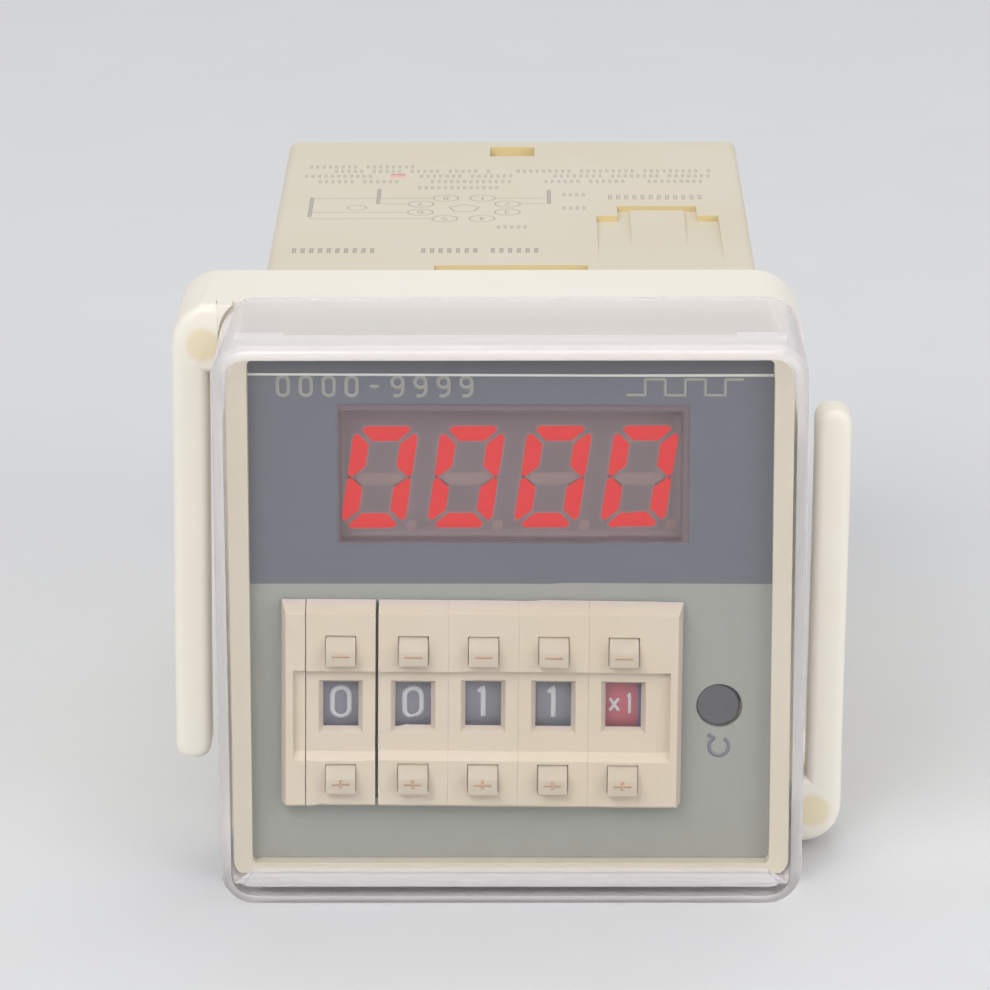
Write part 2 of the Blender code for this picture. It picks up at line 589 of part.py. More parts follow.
def band_profile():
    """The sunk band as (Y, Z): square above, sloped below."""
    front = -BLOCK_PROUD - BAND_DEPTH
    return ((front, BAND_TOP), (BAND_FACE, BAND_TOP), (BAND_FACE, BAND_BOTTOM),
            (-BLOCK_PROUD, BAND_BOTTOM - BAND_SLOPE), (front, BAND_BOTTOM - BAND_SLOPE))


def window_cutter(x):
    """A window that flares towards the front."""
    form = bmesh.new()
    bmesh.ops.create_cube(form, size=1.0)
    depth = 3 * WHEEL_WINDOW_WALL
    for vert in form.verts:
        ahead = depth if vert.co.y < 0 else -FIT
        flare = WHEEL_WINDOW_FLARE * ahead / WHEEL_WINDOW_WALL
        wide = WHEEL_WINDOW_WIDTH / 2 + flare
        high = WHEEL_WINDOW_HEIGHT / 2 + flare
        vert.co = Vector((x + wide * (1 if vert.co.x > 0 else -1), CAVITY_FRONT - ahead,
                          WHEEL_Z + high * (1 if vert.co.z > 0 else -1)))
    return finish_mesh("wheel_window", form)


def build_unit(index):
    x = unit_x(index)
    label = str(index + 1)
    left = x - UNIT_WIDTH / 2
    right = x + UNIT_WIDTH / 2
    inner = BLOCK_HEIGHT / 2 - BLOCK_LEDGE - UNIT_SKIN
    unit = add_object("thumbwheel_housing_" + label,
                      outline_mesh("thumbwheel_housing", block_profile(UNIT_REAR), left, right),
                      WHEEL_BEIGE, (x, 0.0, 0.0), block)
    cut(unit, "unit_cavity",
        box_mesh("unit_cavity", (left + UNIT_SIDE_WALL, right + UNIT_SIDE_WALL),
                 (CAVITY_FRONT, UNIT_REAR - UNIT_SKIN), (-inner, inner)), block)
    cut(unit, "unit_band",
        outline_mesh("unit_band", band_profile(), left - UNIT_SIDE_WALL, right + UNIT_SIDE_WALL), block)
    cut(unit, "unit_window", window_cutter(x), block)
    for centre in (MINUS_Z, PLUS_Z):
        cut(unit, "key_slot",
            box_mesh("key_slot", around(x, KEY_WIDTH + 2 * SIDE_FIT), (-2 * BLOCK_PROUD, CAVITY_FRONT + FIT),
                     around(centre, KEY_HEIGHT + 2 * SIDE_FIT)), block)
    fuse(unit, "wheel_stub",
         cylinder_mesh("wheel_stub", STUB_RADIUS, left + UNIT_SIDE_WALL / 2,
                       x + WHEEL_WIDTH / 2 + RATCHET_WIDTH, (WHEEL_Y, WHEEL_Z), 12, "X"), block)


def build_wheel(index):
    """A drum with ten places, open on its right side round the hub, and a ten-tooth ratchet."""
    x = unit_x(index)
    label = str(index + 1)
    tint = WHEEL_RED if index == UNIT_COUNT - 1 else WHEEL_GREY
    left = x - WHEEL_WIDTH / 2
    right = x + WHEEL_WIDTH / 2
    hub = (WHEEL_Y, WHEEL_Z)
    wheel = add_object("number_wheel_" + label,
                       cylinder_mesh("number_wheel", WHEEL_RADIUS, left, right, hub, 40, "X"),
                       tint, (x, WHEEL_Y, WHEEL_Z), block)
    cut(wheel, "drum_hollow",
        cylinder_mesh("drum_hollow", WHEEL_RADIUS - WHEEL_RIM, left + WHEEL_WEB, right + WHEEL_WEB, hub, 40,
                      "X"), block)
    fuse(wheel, "drum_hub",
         cylinder_mesh("drum_hub", HUB_RADIUS, left + WHEEL_WEB / 2, right + RATCHET_WIDTH / 2, hub, 24, "X"),
         block)
    teeth = []
    for place in range(POSITIONS):
        for share, reach in ((0.0, RATCHET_RADIUS), (0.75, RATCHET_RADIUS - RATCHET_TOOTH)):
            angle = 2 * pi * (place + share) / POSITIONS
            teeth.append((WHEEL_Y + reach * cos(angle), WHEEL_Z + reach * sin(angle)))
    fuse(wheel, "wheel_ratchet",
         outline_mesh("wheel_ratchet", teeth, right - RATCHET_WIDTH / 4, right + RATCHET_WIDTH), block)
    cut(wheel, "wheel_bore",
        cylinder_mesh("wheel_bore", STUB_RADIUS + SIDE_FIT, left - WHEEL_WEB, right + WHEEL_WIDTH, hub, 24,
                      "X"), block)


def build_key(name, index, centre):
    """A push key: a wedge-shaped cap, and a wider foot behind the wall on the side off the wheel."""
    x = unit_x(index)
    top = centre + KEY_HEIGHT / 2
    bottom = centre - KEY_HEIGHT / 2
    face = -BLOCK_PROUD - KEY_PROUD
    foot = CAVITY_FRONT + FIT
    heel = foot + KEY_FOOT_THICK
    if centre > WHEEL_Z:
        foot_low, foot_high = top - KEY_FOOT_SPAN, top
        rear = ((foot, bottom), (foot, foot_low), (heel, foot_low), (heel, top))
    else:
        foot_low, foot_high = bottom, bottom + KEY_FOOT_SPAN
        rear = ((heel, bottom), (heel, foot_high), (foot, foot_high), (foot, top))
    points = ((-BLOCK_PROUD + KEY_PROUD / 3, top), (face + KEY_PROUD / 6, top - KEY_SLOPE),
              (face, top - KEY_SLOPE - KEY_PROUD / 3), (face, bottom)) + rear
    key = add_object(name + "_" + str(index + 1),
                     outline_mesh(name, points, x - KEY_WIDTH / 2, x + KEY_WIDTH / 2),
                     WHEEL_BEIGE, (x, -BLOCK_PROUD, centre), block)
    fuse(key, "key_foot",
         box_mesh("key_foot", around(x, KEY_WIDTH + KEY_FOOT_EXTRA), (foot, heel), (foot_low, foot_high)),
         block)


def build_end_plate(name, side):
    """Side is -1 for the left plate, +1 for the right one."""
    outer = side * BLOCK_WIDTH / 2
    inner = outer - side * END_WIDTH
    low, high = sorted((outer, inner))
    plate = add_object(name, outline_mesh(name, block_profile(UNIT_REAR), low, high), WHEEL_BEIGE,
                       parent=block)
    pocket = sorted((inner - side * END_POCKET, inner + side * END_POCKET))
    cut(plate, "end_band", outline_mesh("end_band", band_profile(), pocket[0], pocket[1]), block)
    run = side * BLOCK_EDGE
    rise = BLOCK_PROUD - FIT
    points = ((outer - 1.5 * run, -BLOCK_PROUD - rise / 2), (outer + run / 2, LEDGE_FACE + rise / 2),
              (outer + 3 * run, LEDGE_FACE + rise / 2), (outer + 3 * run, -BLOCK_PROUD - rise / 2))
    cut(plate, "end_chamfer", outline_mesh("end_chamfer", points, -BLOCK_HEIGHT, BLOCK_HEIGHT, "Z"), block)
    step = sorted((outer - side * BLOCK_LEDGE, outer + side * BLOCK_LEDGE))
    cut(plate, "end_step",
        box_mesh("end_step", step, (LEDGE_FACE, 2 * UNIT_REAR), around(0, 2 * BLOCK_HEIGHT)), block)


def build_switch_board():
    half = BLOCK_HEIGHT / 2 - BLOCK_LEDGE - UNIT_SKIN
    start = UNIT_REAR + FIT
    add_object("switch_board",
               box_mesh("switch_board", around(0, BLOCK_WIDTH - 2 * END_WIDTH),
                        (start, start + SWITCH_BOARD_THICK), (-half, half)), BOARD_GREEN, parent=block)


# %% Reset button
def build_reset():
    collar = WEB_REAR + FIT
    tail = collar + RESET_COLLAR_THICK
    place = (RESET_X, RESET_Z)
    button = add_object("reset_button",
                        cylinder_mesh("reset_button", RESET_RADIUS, RESET_SINK, tail, place, 28),
                        RUBBER_GREY, (RESET_X, RESET_SINK, RESET_Z))
    fuse(button, "reset_collar", cylinder_mesh("reset_collar", RESET_COLLAR, collar, tail, place, 28))
    plunger = tail + RESET_TRAVEL + FIT
    switch = add_object("reset_switch",
                        box_mesh("reset_switch", around(RESET_X, SWITCH_SIZE),
                                 (plunger + SWITCH_PLUNGER_LENGTH, BOARD_FRONT - FIT),
                                 around(RESET_Z, SWITCH_SIZE)), CAN_BLACK)
    fuse(switch, "switch_plunger",
         cylinder_mesh("switch_plunger", SWITCH_PLUNGER, plunger, BOARD_FRONT - 2 * FIT, place, 20))


# %% Case
def build_case():
    case = add_object("case",
                      box_mesh("case", around(0, CASE_SIZE), (CASE_START, CASE_END), around(0, CASE_SIZE),
                               CASE_CORNER, 5), CASE_PLASTIC, (0.0, PANEL_SEAT, 0.0))
    hollow = around(0, 2 * CASE_INSIDE)
    cut(case, "case_hollow",
        box_mesh("case_hollow", hollow, (0.0, CASE_END - CASE_WALL), hollow))
    cut(case, "base_hole",
        cylinder_mesh("base_hole", BASE_RADIUS + SIDE_FIT, CASE_END - 2 * CASE_WALL, CASE_END + CASE_WALL,
                      steps=48))
    for side in (-1, 1):
        wall = side * CASE_INSIDE
        ledge = sorted((wall - side * LEDGE_WIDTH, wall + side * CASE_WALL / 2))
        fuse(case, "board_ledge",
             box_mesh("board_ledge", ledge, (MAIN_BOARD_FRONT, MAIN_BOARD_REAR),
                      (MAIN_BOARD_Z - FIT - LEDGE_HEIGHT, MAIN_BOARD_Z - FIT)))
        cut(case, "side_ratchet", side_ratchet(side))
    for side in (-1, 1):
        cut_latch_marks(case, side)
    cut_selector_recess(case)
    return case


def side_ratchet(side):
    """Saw teeth sunk in one side of the case, for the bracket's pawl; drawn from above as (X, Y)."""
    face = side * HALF_CASE
    points = [(face + side * RATCHET_DEPTH, RATCHET_START)]
    for tooth in range(RATCHET_COUNT):
        start = RATCHET_START + tooth * RATCHET_PITCH
        points.append((face, start))
        points.append((face - side * RATCHET_DEPTH, start))
    end = RATCHET_START + RATCHET_COUNT * RATCHET_PITCH
    points.append((face, end))
    points.append((face + side * RATCHET_DEPTH, end))
    return outline_mesh("side_ratchet", points, -RATCHET_HALF_HEIGHT, RATCHET_HALF_HEIGHT, "Z")


def cut_latch_marks(case, side):
    """Side is +1 for the top of the case, -1 for the bottom."""
    face = side * HALF_CASE
    for name, width, start, end, depth in (("snap_recess", SNAP_WIDTH, SNAP_START, SNAP_END, SNAP_DEPTH),
                                           ("front_slot", SLOT_WIDTH, SLOT_START, SLOT_END, SLOT_DEPTH)):
        level = sorted((face - side * depth, face + side * depth))
        cut(case, name, box_mesh(name, around(0, width), (start, end), level))


def cut_selector_recess(case):
    top = HALF_CASE
    outline = ((RECESS_START, top), (RECESS_SHOULDER, top - RECESS_DEPTH),
               (RECESS_SHOULDER, top + RECESS_DEPTH), (RECESS_START, top + RECESS_DEPTH))
    cut(case, "recess_ramp", outline_mesh("recess_ramp", outline, RECESS_LEFT, RECESS_RIGHT))
    cut(case, "recess_back",
        box_mesh("recess_back", (RECESS_LEFT + RECESS_STEP, RECESS_RIGHT - RECESS_STEP),
                 (RECESS_SHOULDER - RECESS_STEP, RECESS_END), (top - RECESS_DEPTH, top + RECESS_DEPTH)))
    start = RECESS_START + RECESS_STEP
    fuse(case, "recess_tongue",
         box_mesh("recess_tongue", (RECESS_LEFT + TONGUE_LEFT, RECESS_RIGHT - TONGUE_RIGHT),
                  (start, RECESS_END - RECESS_STEP),
                  (top - RECESS_DEPTH - TONGUE_ROOT, top - TONGUE_SINK)))


# %% Mounting bracket: a ring round the case with two spring arms, the same when turned half a turn
def arm_mesh(side):
    """A bowed bar; side is -1 for the left arm, which hangs down, and +1 for the right one."""
    form = bmesh.new()
    bmesh.ops.create_cube(form, size=1.0)
    length = [edge for edge in form.edges if abs((edge.verts[0].co - edge.verts[1].co).z) > 0.5]
    bmesh.ops.subdivide_edges(form, edges=length, cuts=ARM_STEPS - 1, use_grid_fill=True)
    root = BRACKET_HEIGHT / 2 - BRACKET_EAR_CORNER
    span = root + ARM_TIP
    for vert in form.verts:
        along = 0.5 - vert.co.z
        bend = along * along * (3 - 2 * along)
        outer = ARM_OUTER + ARM_FLARE * bend - ARM_WIDTH / 2 + vert.co.x * ARM_WIDTH
        depth = BRACKET_EAR_FRONT + ARM_THICK * (0.5 + vert.co.y) - ARM_BOW * bend
        level = root - span * along
        vert.co = Vector((side * outer, depth, -side * level))
    bmesh.ops.recalc_face_normals(form, faces=form.faces)
    tip = [edge for edge in form.edges
           if all(side * vert.co.z > ARM_TIP - 1e-6 for vert in edge.verts)
           and abs((edge.verts[0].co - edge.verts[1].co).y) > ARM_THICK / 2]
    bmesh.ops.bevel(form, geom=tip, offset=ARM_TIP_ROUND, segments=5, profile=0.5, affect="EDGES")
    return finish_mesh("spring_arm", form)


def ear_mesh(side):
    """The root of an arm: it widens the ring and reaches forward beside the cover."""
    inner = side * (HALF_CASE + FIT)
    step = side * BRACKET_WIDTH / 2
    outer = side * ARM_OUTER
    points = ((inner, BRACKET_FRONT), (step, BRACKET_FRONT), (step, BRACKET_EAR_FRONT),
              (outer, BRACKET_EAR_FRONT), (outer, BRACKET_REAR), (inner, BRACKET_REAR))
    top = BRACKET_HEIGHT / 2
    low, high = sorted((-side * top, -side * (top - BRACKET_EAR_HEIGHT)))
    mesh = outline_mesh("bracket_ear", points, low, high, "Z")
    form = bmesh.new()
    form.from_mesh(mesh)
    corner = [edge for edge in form.edges
              if all(side * vert.co.x > ARM_OUTER - 1e-6 and -side * vert.co.z > top - 1e-6
                     for vert in edge.verts)]
    bmesh.ops.bevel(form, geom=corner, offset=BRACKET_EAR_CORNER, segments=6, profile=0.5, affect="EDGES")
    bpy.data.meshes.remove(mesh)
    return finish_mesh("bracket_ear", form)


def build_bracket():
    bracket = add_object("mounting_bracket",
                         box_mesh("mounting_bracket", around(0, BRACKET_WIDTH), (BRACKET_FRONT, BRACKET_REAR),
                                  around(0, BRACKET_HEIGHT), BRACKET_CORNER, 6),
                         BRACKET_PLASTIC, (0.0, BRACKET_FRONT, 0.0))
    for side in (-1, 1):
        fuse(bracket, "bracket_ear", ear_mesh(side))
        fuse(bracket, "spring_arm", arm_mesh(side))
    opening = around(0, CASE_SIZE + 2 * FIT)
    cut(bracket, "bracket_opening",
        box_mesh("bracket_opening", opening, (0.0, BRACKET_REAR + CASE_WALL), opening, CASE_CORNER, 4))
    return bracket


# %% Octal plug
def build_base():
    flange_rear = CASE_END - CASE_WALL - FIT
    base = add_object("octal_base",
                      cylinder_mesh("octal_base", BASE_RADIUS + BASE_FLANGE,
                                    flange_rear - BASE_FLANGE_THICK, flange_rear, steps=48),
                      BASE_BROWN)
    fuse(base, "base_boss",
         cylinder_mesh("base_boss", BASE_RADIUS, flange_rear - BASE_FLANGE_THICK / 2, CASE_END + BASE_PROUD,
                       steps=48))
    fuse(base, "base_spigot",
         cylinder_mesh("base_spigot", SPIGOT_RADIUS, CASE_END, SPIGOT_END, steps=28, tip=SPIGOT_RADIUS / 8))
    rib = (-SPIGOT_RADIUS - KEY_RIB_PROUD, -SPIGOT_RADIUS / 2)
    fuse(base, "base_key",
         box_mesh("base_key", around(0, KEY_RIB_WIDTH), (CASE_END, SPIGOT_END - SPIGOT_RADIUS / 4), rib))
    cut(base, "spigot_bore",
        cylinder_mesh("spigot_bore", SPIGOT_BORE, CASE_END + 2 * BASE_PROUD, SPIGOT_END + BASE_PROUD,
                      steps=20))
    for index in range(PIN_COUNT):
        cut(base, "pin_hole",
            cylinder_mesh("pin_hole", PIN_RADIUS + SIDE_FIT, flange_rear - 2 * BASE_FLANGE_THICK,
                          CASE_END + 2 * BASE_PROUD, pin_place(index), 16))


def pin_place(index):
    """Pin centres, counted clockwise from the key as seen from the rear."""
    angle = 2 * pi * (index + 0.5) / PIN_COUNT
    return (-PIN_CIRCLE * sin(angle), -PIN_CIRCLE * cos(angle))


def build_pins():
    for index in range(PIN_COUNT):
        add_object("pin_" + str(index + 1),
                   cylinder_mesh("pin", PIN_RADIUS, CASE_END - PIN_TAIL, CASE_END + PIN_LENGTH,
                                 pin_place(index), 16, tip=PIN_RADIUS * 0.6), PIN_METAL)


# %% What the case holds
def build_inside():
    edge = CASE_INSIDE - FIT
    top = MAIN_BOARD_Z + BOARD_THICK
    add_object("main_board",
               box_mesh("main_board", (-edge, edge), (MAIN_BOARD_FRONT, MAIN_BOARD_REAR),
                        (MAIN_BOARD_Z, top)), BOARD_GREEN)
    floor = top + FIT
    core = add_object("transformer",
                      box_mesh("transformer", around(TRANSFORMER_X, CORE_WIDTH),
                               around(TRANSFORMER_Y, CORE_LENGTH), (floor, floor + CORE_HEIGHT)), CORE_STEEL)
    coil_low = floor + (CORE_HEIGHT - COIL_HEIGHT) / 2
    fuse(core, "coil",
         box_mesh("coil", around(TRANSFORMER_X, COIL_WIDTH), around(TRANSFORMER_Y, COIL_LENGTH),
                  (coil_low, coil_low + COIL_HEIGHT), COIL_CORNER, 3))
    relay = add_object("relay",
                       box_mesh("relay", around(RELAY_X, RELAY_WIDTH), around(RELAY_Y, RELAY_LENGTH),
                                (floor, floor + RELAY_HEIGHT)), RELAY_BLUE)
    soften(relay, RELAY_EDGE)
    add_object("capacitor",
               cylinder_mesh("capacitor", CAPACITOR_RADIUS, floor, floor + CAPACITOR_HEIGHT,
                             (CAPACITOR_X, CAPACITOR_Y), 24, "Z", tip=CAPACITOR_EDGE), CAN_BLACK)


# %% Build everything
build_cover()
build_bezel()
build_face_plate()
build_display()
build_display_board()
for unit_index in range(UNIT_COUNT):
    build_unit(unit_index)
    build_wheel(unit_index)
    build_key("minus_button", unit_index, MINUS_Z)
    build_key("plus_button", unit_index, PLUS_Z)
build_end_plate("end_plate_left", -1)
build_end_plate("end_plate_right", 1)
build_switch_board()
build_reset()
build_case()
build_bracket()
build_base()
build_pins()
build_inside()
bpy.context.view_layer.update()
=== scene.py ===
# %% [markdown]
# # A square panel counter, dressed for its picture
#
# The counter is a plug-in preset counter: a red four-digit display, five push-wheel units, a reset
# button, a clear cover over the front and a mounting bracket round the case. Its exact solids come in as
# a fixed frame. This script adds soft edges, finishes, lit digits and printed marks, and never moves what
# the frame holds.

# %% Load the frame
import json
from math import asin, atan2, cos, pi, radians, sin

import bmesh
import bpy
from mathutils import Euler, Matrix, Vector


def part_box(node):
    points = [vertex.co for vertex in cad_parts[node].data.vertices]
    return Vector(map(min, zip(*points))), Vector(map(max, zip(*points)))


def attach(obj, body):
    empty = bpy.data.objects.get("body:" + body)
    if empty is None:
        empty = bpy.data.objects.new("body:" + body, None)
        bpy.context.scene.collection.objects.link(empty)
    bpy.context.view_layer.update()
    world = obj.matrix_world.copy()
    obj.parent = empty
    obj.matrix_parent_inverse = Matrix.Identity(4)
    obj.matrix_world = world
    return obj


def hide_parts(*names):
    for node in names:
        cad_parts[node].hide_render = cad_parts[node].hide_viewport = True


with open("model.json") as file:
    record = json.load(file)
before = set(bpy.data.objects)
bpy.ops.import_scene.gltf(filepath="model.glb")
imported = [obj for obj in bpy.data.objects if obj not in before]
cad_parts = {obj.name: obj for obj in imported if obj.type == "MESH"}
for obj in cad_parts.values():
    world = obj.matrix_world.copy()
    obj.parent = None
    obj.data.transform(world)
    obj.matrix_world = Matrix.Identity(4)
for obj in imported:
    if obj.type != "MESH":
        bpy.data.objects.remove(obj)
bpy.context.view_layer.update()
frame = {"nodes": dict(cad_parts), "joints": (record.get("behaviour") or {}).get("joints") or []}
scene = bpy.context.scene
scene.view_settings.view_transform = "Standard"

# %% [markdown]
# Every mark on the front is measured in millimetres from the middle of the face plate, with its front at
# y = 0. The frame is in metres, so one helper turns the first into the second. The thumbwheel block sits
# slightly turned on the plate. A wheel's own hinge axis says by how much, so the angle is read from
# there. Where corners of a solid are looked up by their place, SAME is how closely they have to agree.

# %% Places on the counter and on the turned thumbwheel block
MM = 0.001
SAME = 0.01
plate_low, plate_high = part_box("face_plate")
MIDDLE = Vector((0.0, plate_low.y, (plate_low.z + plate_high.z) / 2))
joints = {joint["name"]: joint for joint in frame["joints"]}
first_axis = Vector(joints["wheel_turn_1"]["axis"])
BLOCK_TURN = Matrix.Rotation(atan2(-first_axis.z, first_axis.x), 4, "Y")
UNITS = (1, 2, 3, 4, 5)


def at(x, y, z):
    """A point in millimetres on the counter, as metres in the frame."""
    return MIDDLE + Vector((x, y, z)) * MM


def middle_of(node):
    low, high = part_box(node)
    return (low + high) / 2


print("face plate:", [round(v / MM, 1) for v in plate_high - plate_low], "mm")
print("block turned by", round(atan2(-first_axis.z, first_axis.x) * 180 / pi, 2), "degrees")

# %% [markdown]
# ## Camera
#
# The picture was taken from in front and above with a long lens. The camera comes first, because
# everything after it is judged through it. Its place and turn were solved from the corners of the 48 mm
# square bezel.

# %% Camera
camera_data = bpy.data.cameras.new("camera")
camera_data.lens = 183.5
camera_data.clip_end = 20.0
camera = bpy.data.objects.new("camera", camera_data)
camera.location = at(1.485, -412.66, 140.23)
camera.rotation_euler = Euler((radians(72.53), radians(0.166), radians(0.336)))
scene.collection.objects.link(camera)
scene.camera = camera
print("camera stands", round((camera.location - MIDDLE).length, 3), "m from the face")

# %% [markdown]
# ## Floor and studio light
#
# The counter stands on a pale table top. A single flat square is enough for it, made large so that its
# edge stays out of the picture.

# %% Floor
FLOOR_HALF = 4.0
floor_form = bmesh.new()
bmesh.ops.create_grid(floor_form, x_segments=1, y_segments=1, size=FLOOR_HALF)
floor_mesh = bpy.data.meshes.new("floor")
floor_form.to_mesh(floor_mesh)
floor_form.free()
floor = bpy.data.objects.new("floor", floor_mesh)
scene.collection.objects.link(floor)
print("floor reaches", FLOOR_HALF, "m to each side")

# %% [markdown]
# Wide soft lamps give shadows without hard edges. A lamp's power grows with the square of its distance,
# so each lamp is given by the light that it lays on the counter, and its watts are worked out.

# %% Lamps and surroundings
AMBIENT = 0.50
LAMPS = (
    # name, place in metres from the face, size in metres, light on the counter
    ("key", (-0.55, -0.90, 0.95), 0.9, 0.40),
    ("fill", (0.90, -0.80, 0.45), 0.9, 0.27),
    ("top", (0.10, 0.35, 1.10), 0.8, 0.22),
)
for lamp_name, spot, size, level in LAMPS:
    lamp_data = bpy.data.lights.new(lamp_name, "AREA")
    lamp_data.shape = "DISK"
    lamp_data.size = size
    lamp_data.energy = level * pi * pi * Vector(spot).length_squared
    lamp = bpy.data.objects.new(lamp_name, lamp_data)
    lamp.location = MIDDLE + Vector(spot)
    lamp.rotation_euler = (-Vector(spot)).to_track_quat("-Z", "Y").to_euler()
    scene.collection.objects.link(lamp)
    print(lamp_name, round(lamp_data.energy, 2), "W")

world = bpy.data.worlds.new("studio")
scene.world = world
world.use_nodes = True
world.node_tree.nodes["Background"].inputs["Color"].default_value = (0.97, 0.98, 1.0, 1.0)
world.node_tree.nodes["Background"].inputs["Strength"].default_value = AMBIENT

# %% [markdown]
# ## Finishes
#
# Moulded plastic is never flat: the mould was spark-eroded, which leaves a fine even grain, and the
# colour drifts a little over the piece. Many finishes need the same two effects, so they live in one node
# group. The group puts out a colour, a roughness and a normal, and the Principled shader stays in each
# material.

# %% Node helpers
def linear(red, green, blue):
    """A colour written as 0 to 255 on the screen, as the linear values that a shader takes."""
    shares = [value / 255 for value in (red, green, blue)]
    return tuple(s / 12.92 if s <= 0.04045 else ((s + 0.055) / 1.055) ** 2.4 for s in shares) + (1.0,)


def feed(made, values):
    """Give a node's inputs their values; a value may also be an output of another node."""
    for name, given in values.items():
        if isinstance(given, bpy.types.NodeSocket):
            made.id_data.links.new(given, made.inputs[name])
        else:
            made.inputs[name].default_value = given
    return made


def node(tree, kind, values=None, **settings):
    """Add a shader node, set its options and feed its inputs."""
    made = tree.nodes.new("ShaderNode" + kind)
    for name, setting in settings.items():
        setattr(made, name, setting)
    return feed(made, values or {})


def mixed(tree, share, first, second, mode="MIX"):
    """Mix two colours; each of the three may be a value or a socket."""
    return node(tree, "Mix", {0: share, 6: first, 7: second}, data_type="RGBA", blend_type=mode).outputs[2]


def reckoned(tree, operation, first, second):
    """Reckon with two numbers, such as their sum or the larger one."""
    return node(tree, "Math", {0: first, 1: second}, operation=operation).outputs[0]


def spread(tree, value, start, end, low=0.0, high=1.0):
    """Stretch one range of values over another, and stop at its ends."""
    return node(tree, "MapRange", {"Value": value, "From Min": start, "From Max": end,
                                   "To Min": low, "To Max": high}).outputs["Result"]


def new_group(name, inputs, outputs):
    """An empty node group with named sockets; inputs give a kind and a starting value."""
    tree = bpy.data.node_groups.new(name, "ShaderNodeTree")
    for label, kind, value in inputs:
        socket = tree.interface.new_socket(name=label, in_out="INPUT", socket_type="NodeSocket" + kind)
        if value is not None:
            socket.default_value = value
    for label, kind in outputs:
        tree.interface.new_socket(name=label, in_out="OUTPUT", socket_type="NodeSocket" + kind)
    return tree, tree.nodes.new("NodeGroupInput"), tree.nodes.new("NodeGroupOutput")


print("a middle grey of 128 is", round(linear(128, 128, 128)[0], 3), "as a linear value")

# %% [markdown]
# A fine noise becomes the bump and a small change of roughness. A second noise, far slower, says where
# the colour drifts toward the yellow that such plastic takes with age.

# %% The moulded grain group
grain, grain_in, grain_out = new_group(
    "moulded_grain",
    [("Place", "Vector", None), ("Colour", "Color", (0.7, 0.7, 0.7, 1.0)),
     ("Grains per Metre", "Float", 5000.0), ("Depth", "Float", 0.25),
     ("Roughness", "Float", 0.45), ("Drift", "Float", 0.06)],
    [("Colour", "Color"), ("Roughness", "Float"), ("Normal", "Vector")])
given = grain_in.outputs
fine, slow = (node(grain, "TexNoise", {"Vector": given["Place"], "Scale": scale, "Detail": 2.0,
                                       "Roughness": 0.6}).outputs["Fac"]
              for scale in (given["Grains per Metre"], 55.0))
bump = node(grain, "Bump", {"Height": fine, "Strength": given["Depth"], "Distance": 0.00003})
share = reckoned(grain, "MULTIPLY", spread(grain, slow, 0.3, 0.7), given["Drift"])
aged = mixed(grain, 1.0, given["Colour"], (0.95, 0.90, 0.80, 1.0), "MULTIPLY")
rougher = reckoned(grain, "ADD", spread(grain, fine, 0.3, 0.7, -0.05, 0.05), given["Roughness"])
feed(grain_out, {"Colour": mixed(grain, share, given["Colour"], aged), "Roughness": rougher,
                 "Normal": bump.outputs["Normal"]})
print("group:", grain.name)

# %% [markdown]
# Smooth pieces carry hairline scratches from handling. Stretched noise, cut off sharply, leaves thin
# streaks, and two layers at different angles keep them from looking combed.

# %% The hairline scratches group
hairs, hairs_in, hairs_out = new_group(
    "hairline_scratches",
    [("Place", "Vector", None), ("Roughness", "Float", 0.05), ("Amount", "Float", 0.1)],
    [("Roughness", "Float"), ("Mask", "Float")])
given = hairs_in.outputs
streaks = []
for angle, stretch in ((0.5, 2600.0), (-0.9, 3400.0)):
    turn = node(hairs, "Mapping", {"Vector": given["Place"], "Rotation": (0.3, angle, 0.2),
                                   "Scale": (90.0, 90.0, stretch)})
    streak = node(hairs, "TexNoise", {"Vector": turn.outputs["Vector"], "Scale": 1.0, "Detail": 1.0})
    streaks.append(spread(hairs, streak.outputs["Fac"], 0.70, 0.78))
most = reckoned(hairs, "MAXIMUM", *streaks)
rougher = reckoned(hairs, "ADD", reckoned(hairs, "MULTIPLY", most, given["Amount"]), given["Roughness"])
feed(hairs_out, {"Roughness": rougher, "Mask": most})
print("group:", hairs.name)

# %% [markdown]
# A material is started the same way each time, so small helpers do it. One gives moulded plastic with a
# free socket for its colour, and one a mask that grows along an axis of the frame.

# %% Material helpers
def start_material(name):
    """A material with a Principled shader, and its Object coordinates."""
    material = bpy.data.materials.new(name)
    material.use_nodes = True
    tree = material.node_tree
    return material, tree, tree.nodes["Principled BSDF"], node(tree, "TexCoord").outputs["Object"]


def patterned(name, roughness=0.45, grains=5000.0, depth=0.25, drift=0.5, specular=0.4):
    """Moulded plastic with a free socket for its colour, which may change over the piece."""
    material, tree, shader, place = start_material(name)
    finish = node(tree, "Group", {"Place": place, "Roughness": roughness, "Grains per Metre": grains,
                                  "Depth": depth, "Drift": drift}, node_tree=grain)
    feed(shader, {"Specular IOR Level": specular, "Base Color": finish.outputs["Colour"],
                  "Roughness": finish.outputs["Roughness"], "Normal": finish.outputs["Normal"]})
    return material, tree, place, finish.inputs["Colour"]


def moulded(name, colour, *finish):
    """Moulded plastic in one colour."""
    material, tree, place, tone = patterned(name, *finish)
    tone.default_value = linear(*colour)
    return material


def ramp(tree, place, axis, start, end):
    """A mask that goes from 0 to 1 between two places along an axis, in metres."""
    apart = node(tree, "SeparateXYZ", {0: place})
    return spread(tree, apart.outputs[axis], start, end)


print("helpers ready for", len(bpy.data.node_groups), "groups")

# %% [markdown]
# Every plain plastic and ink is a colour, a roughness, the grains on a metre, their depth, and at times
# its drift and mirror strength. The case is a shade darker than the bracket, and the keys than their
# housings.

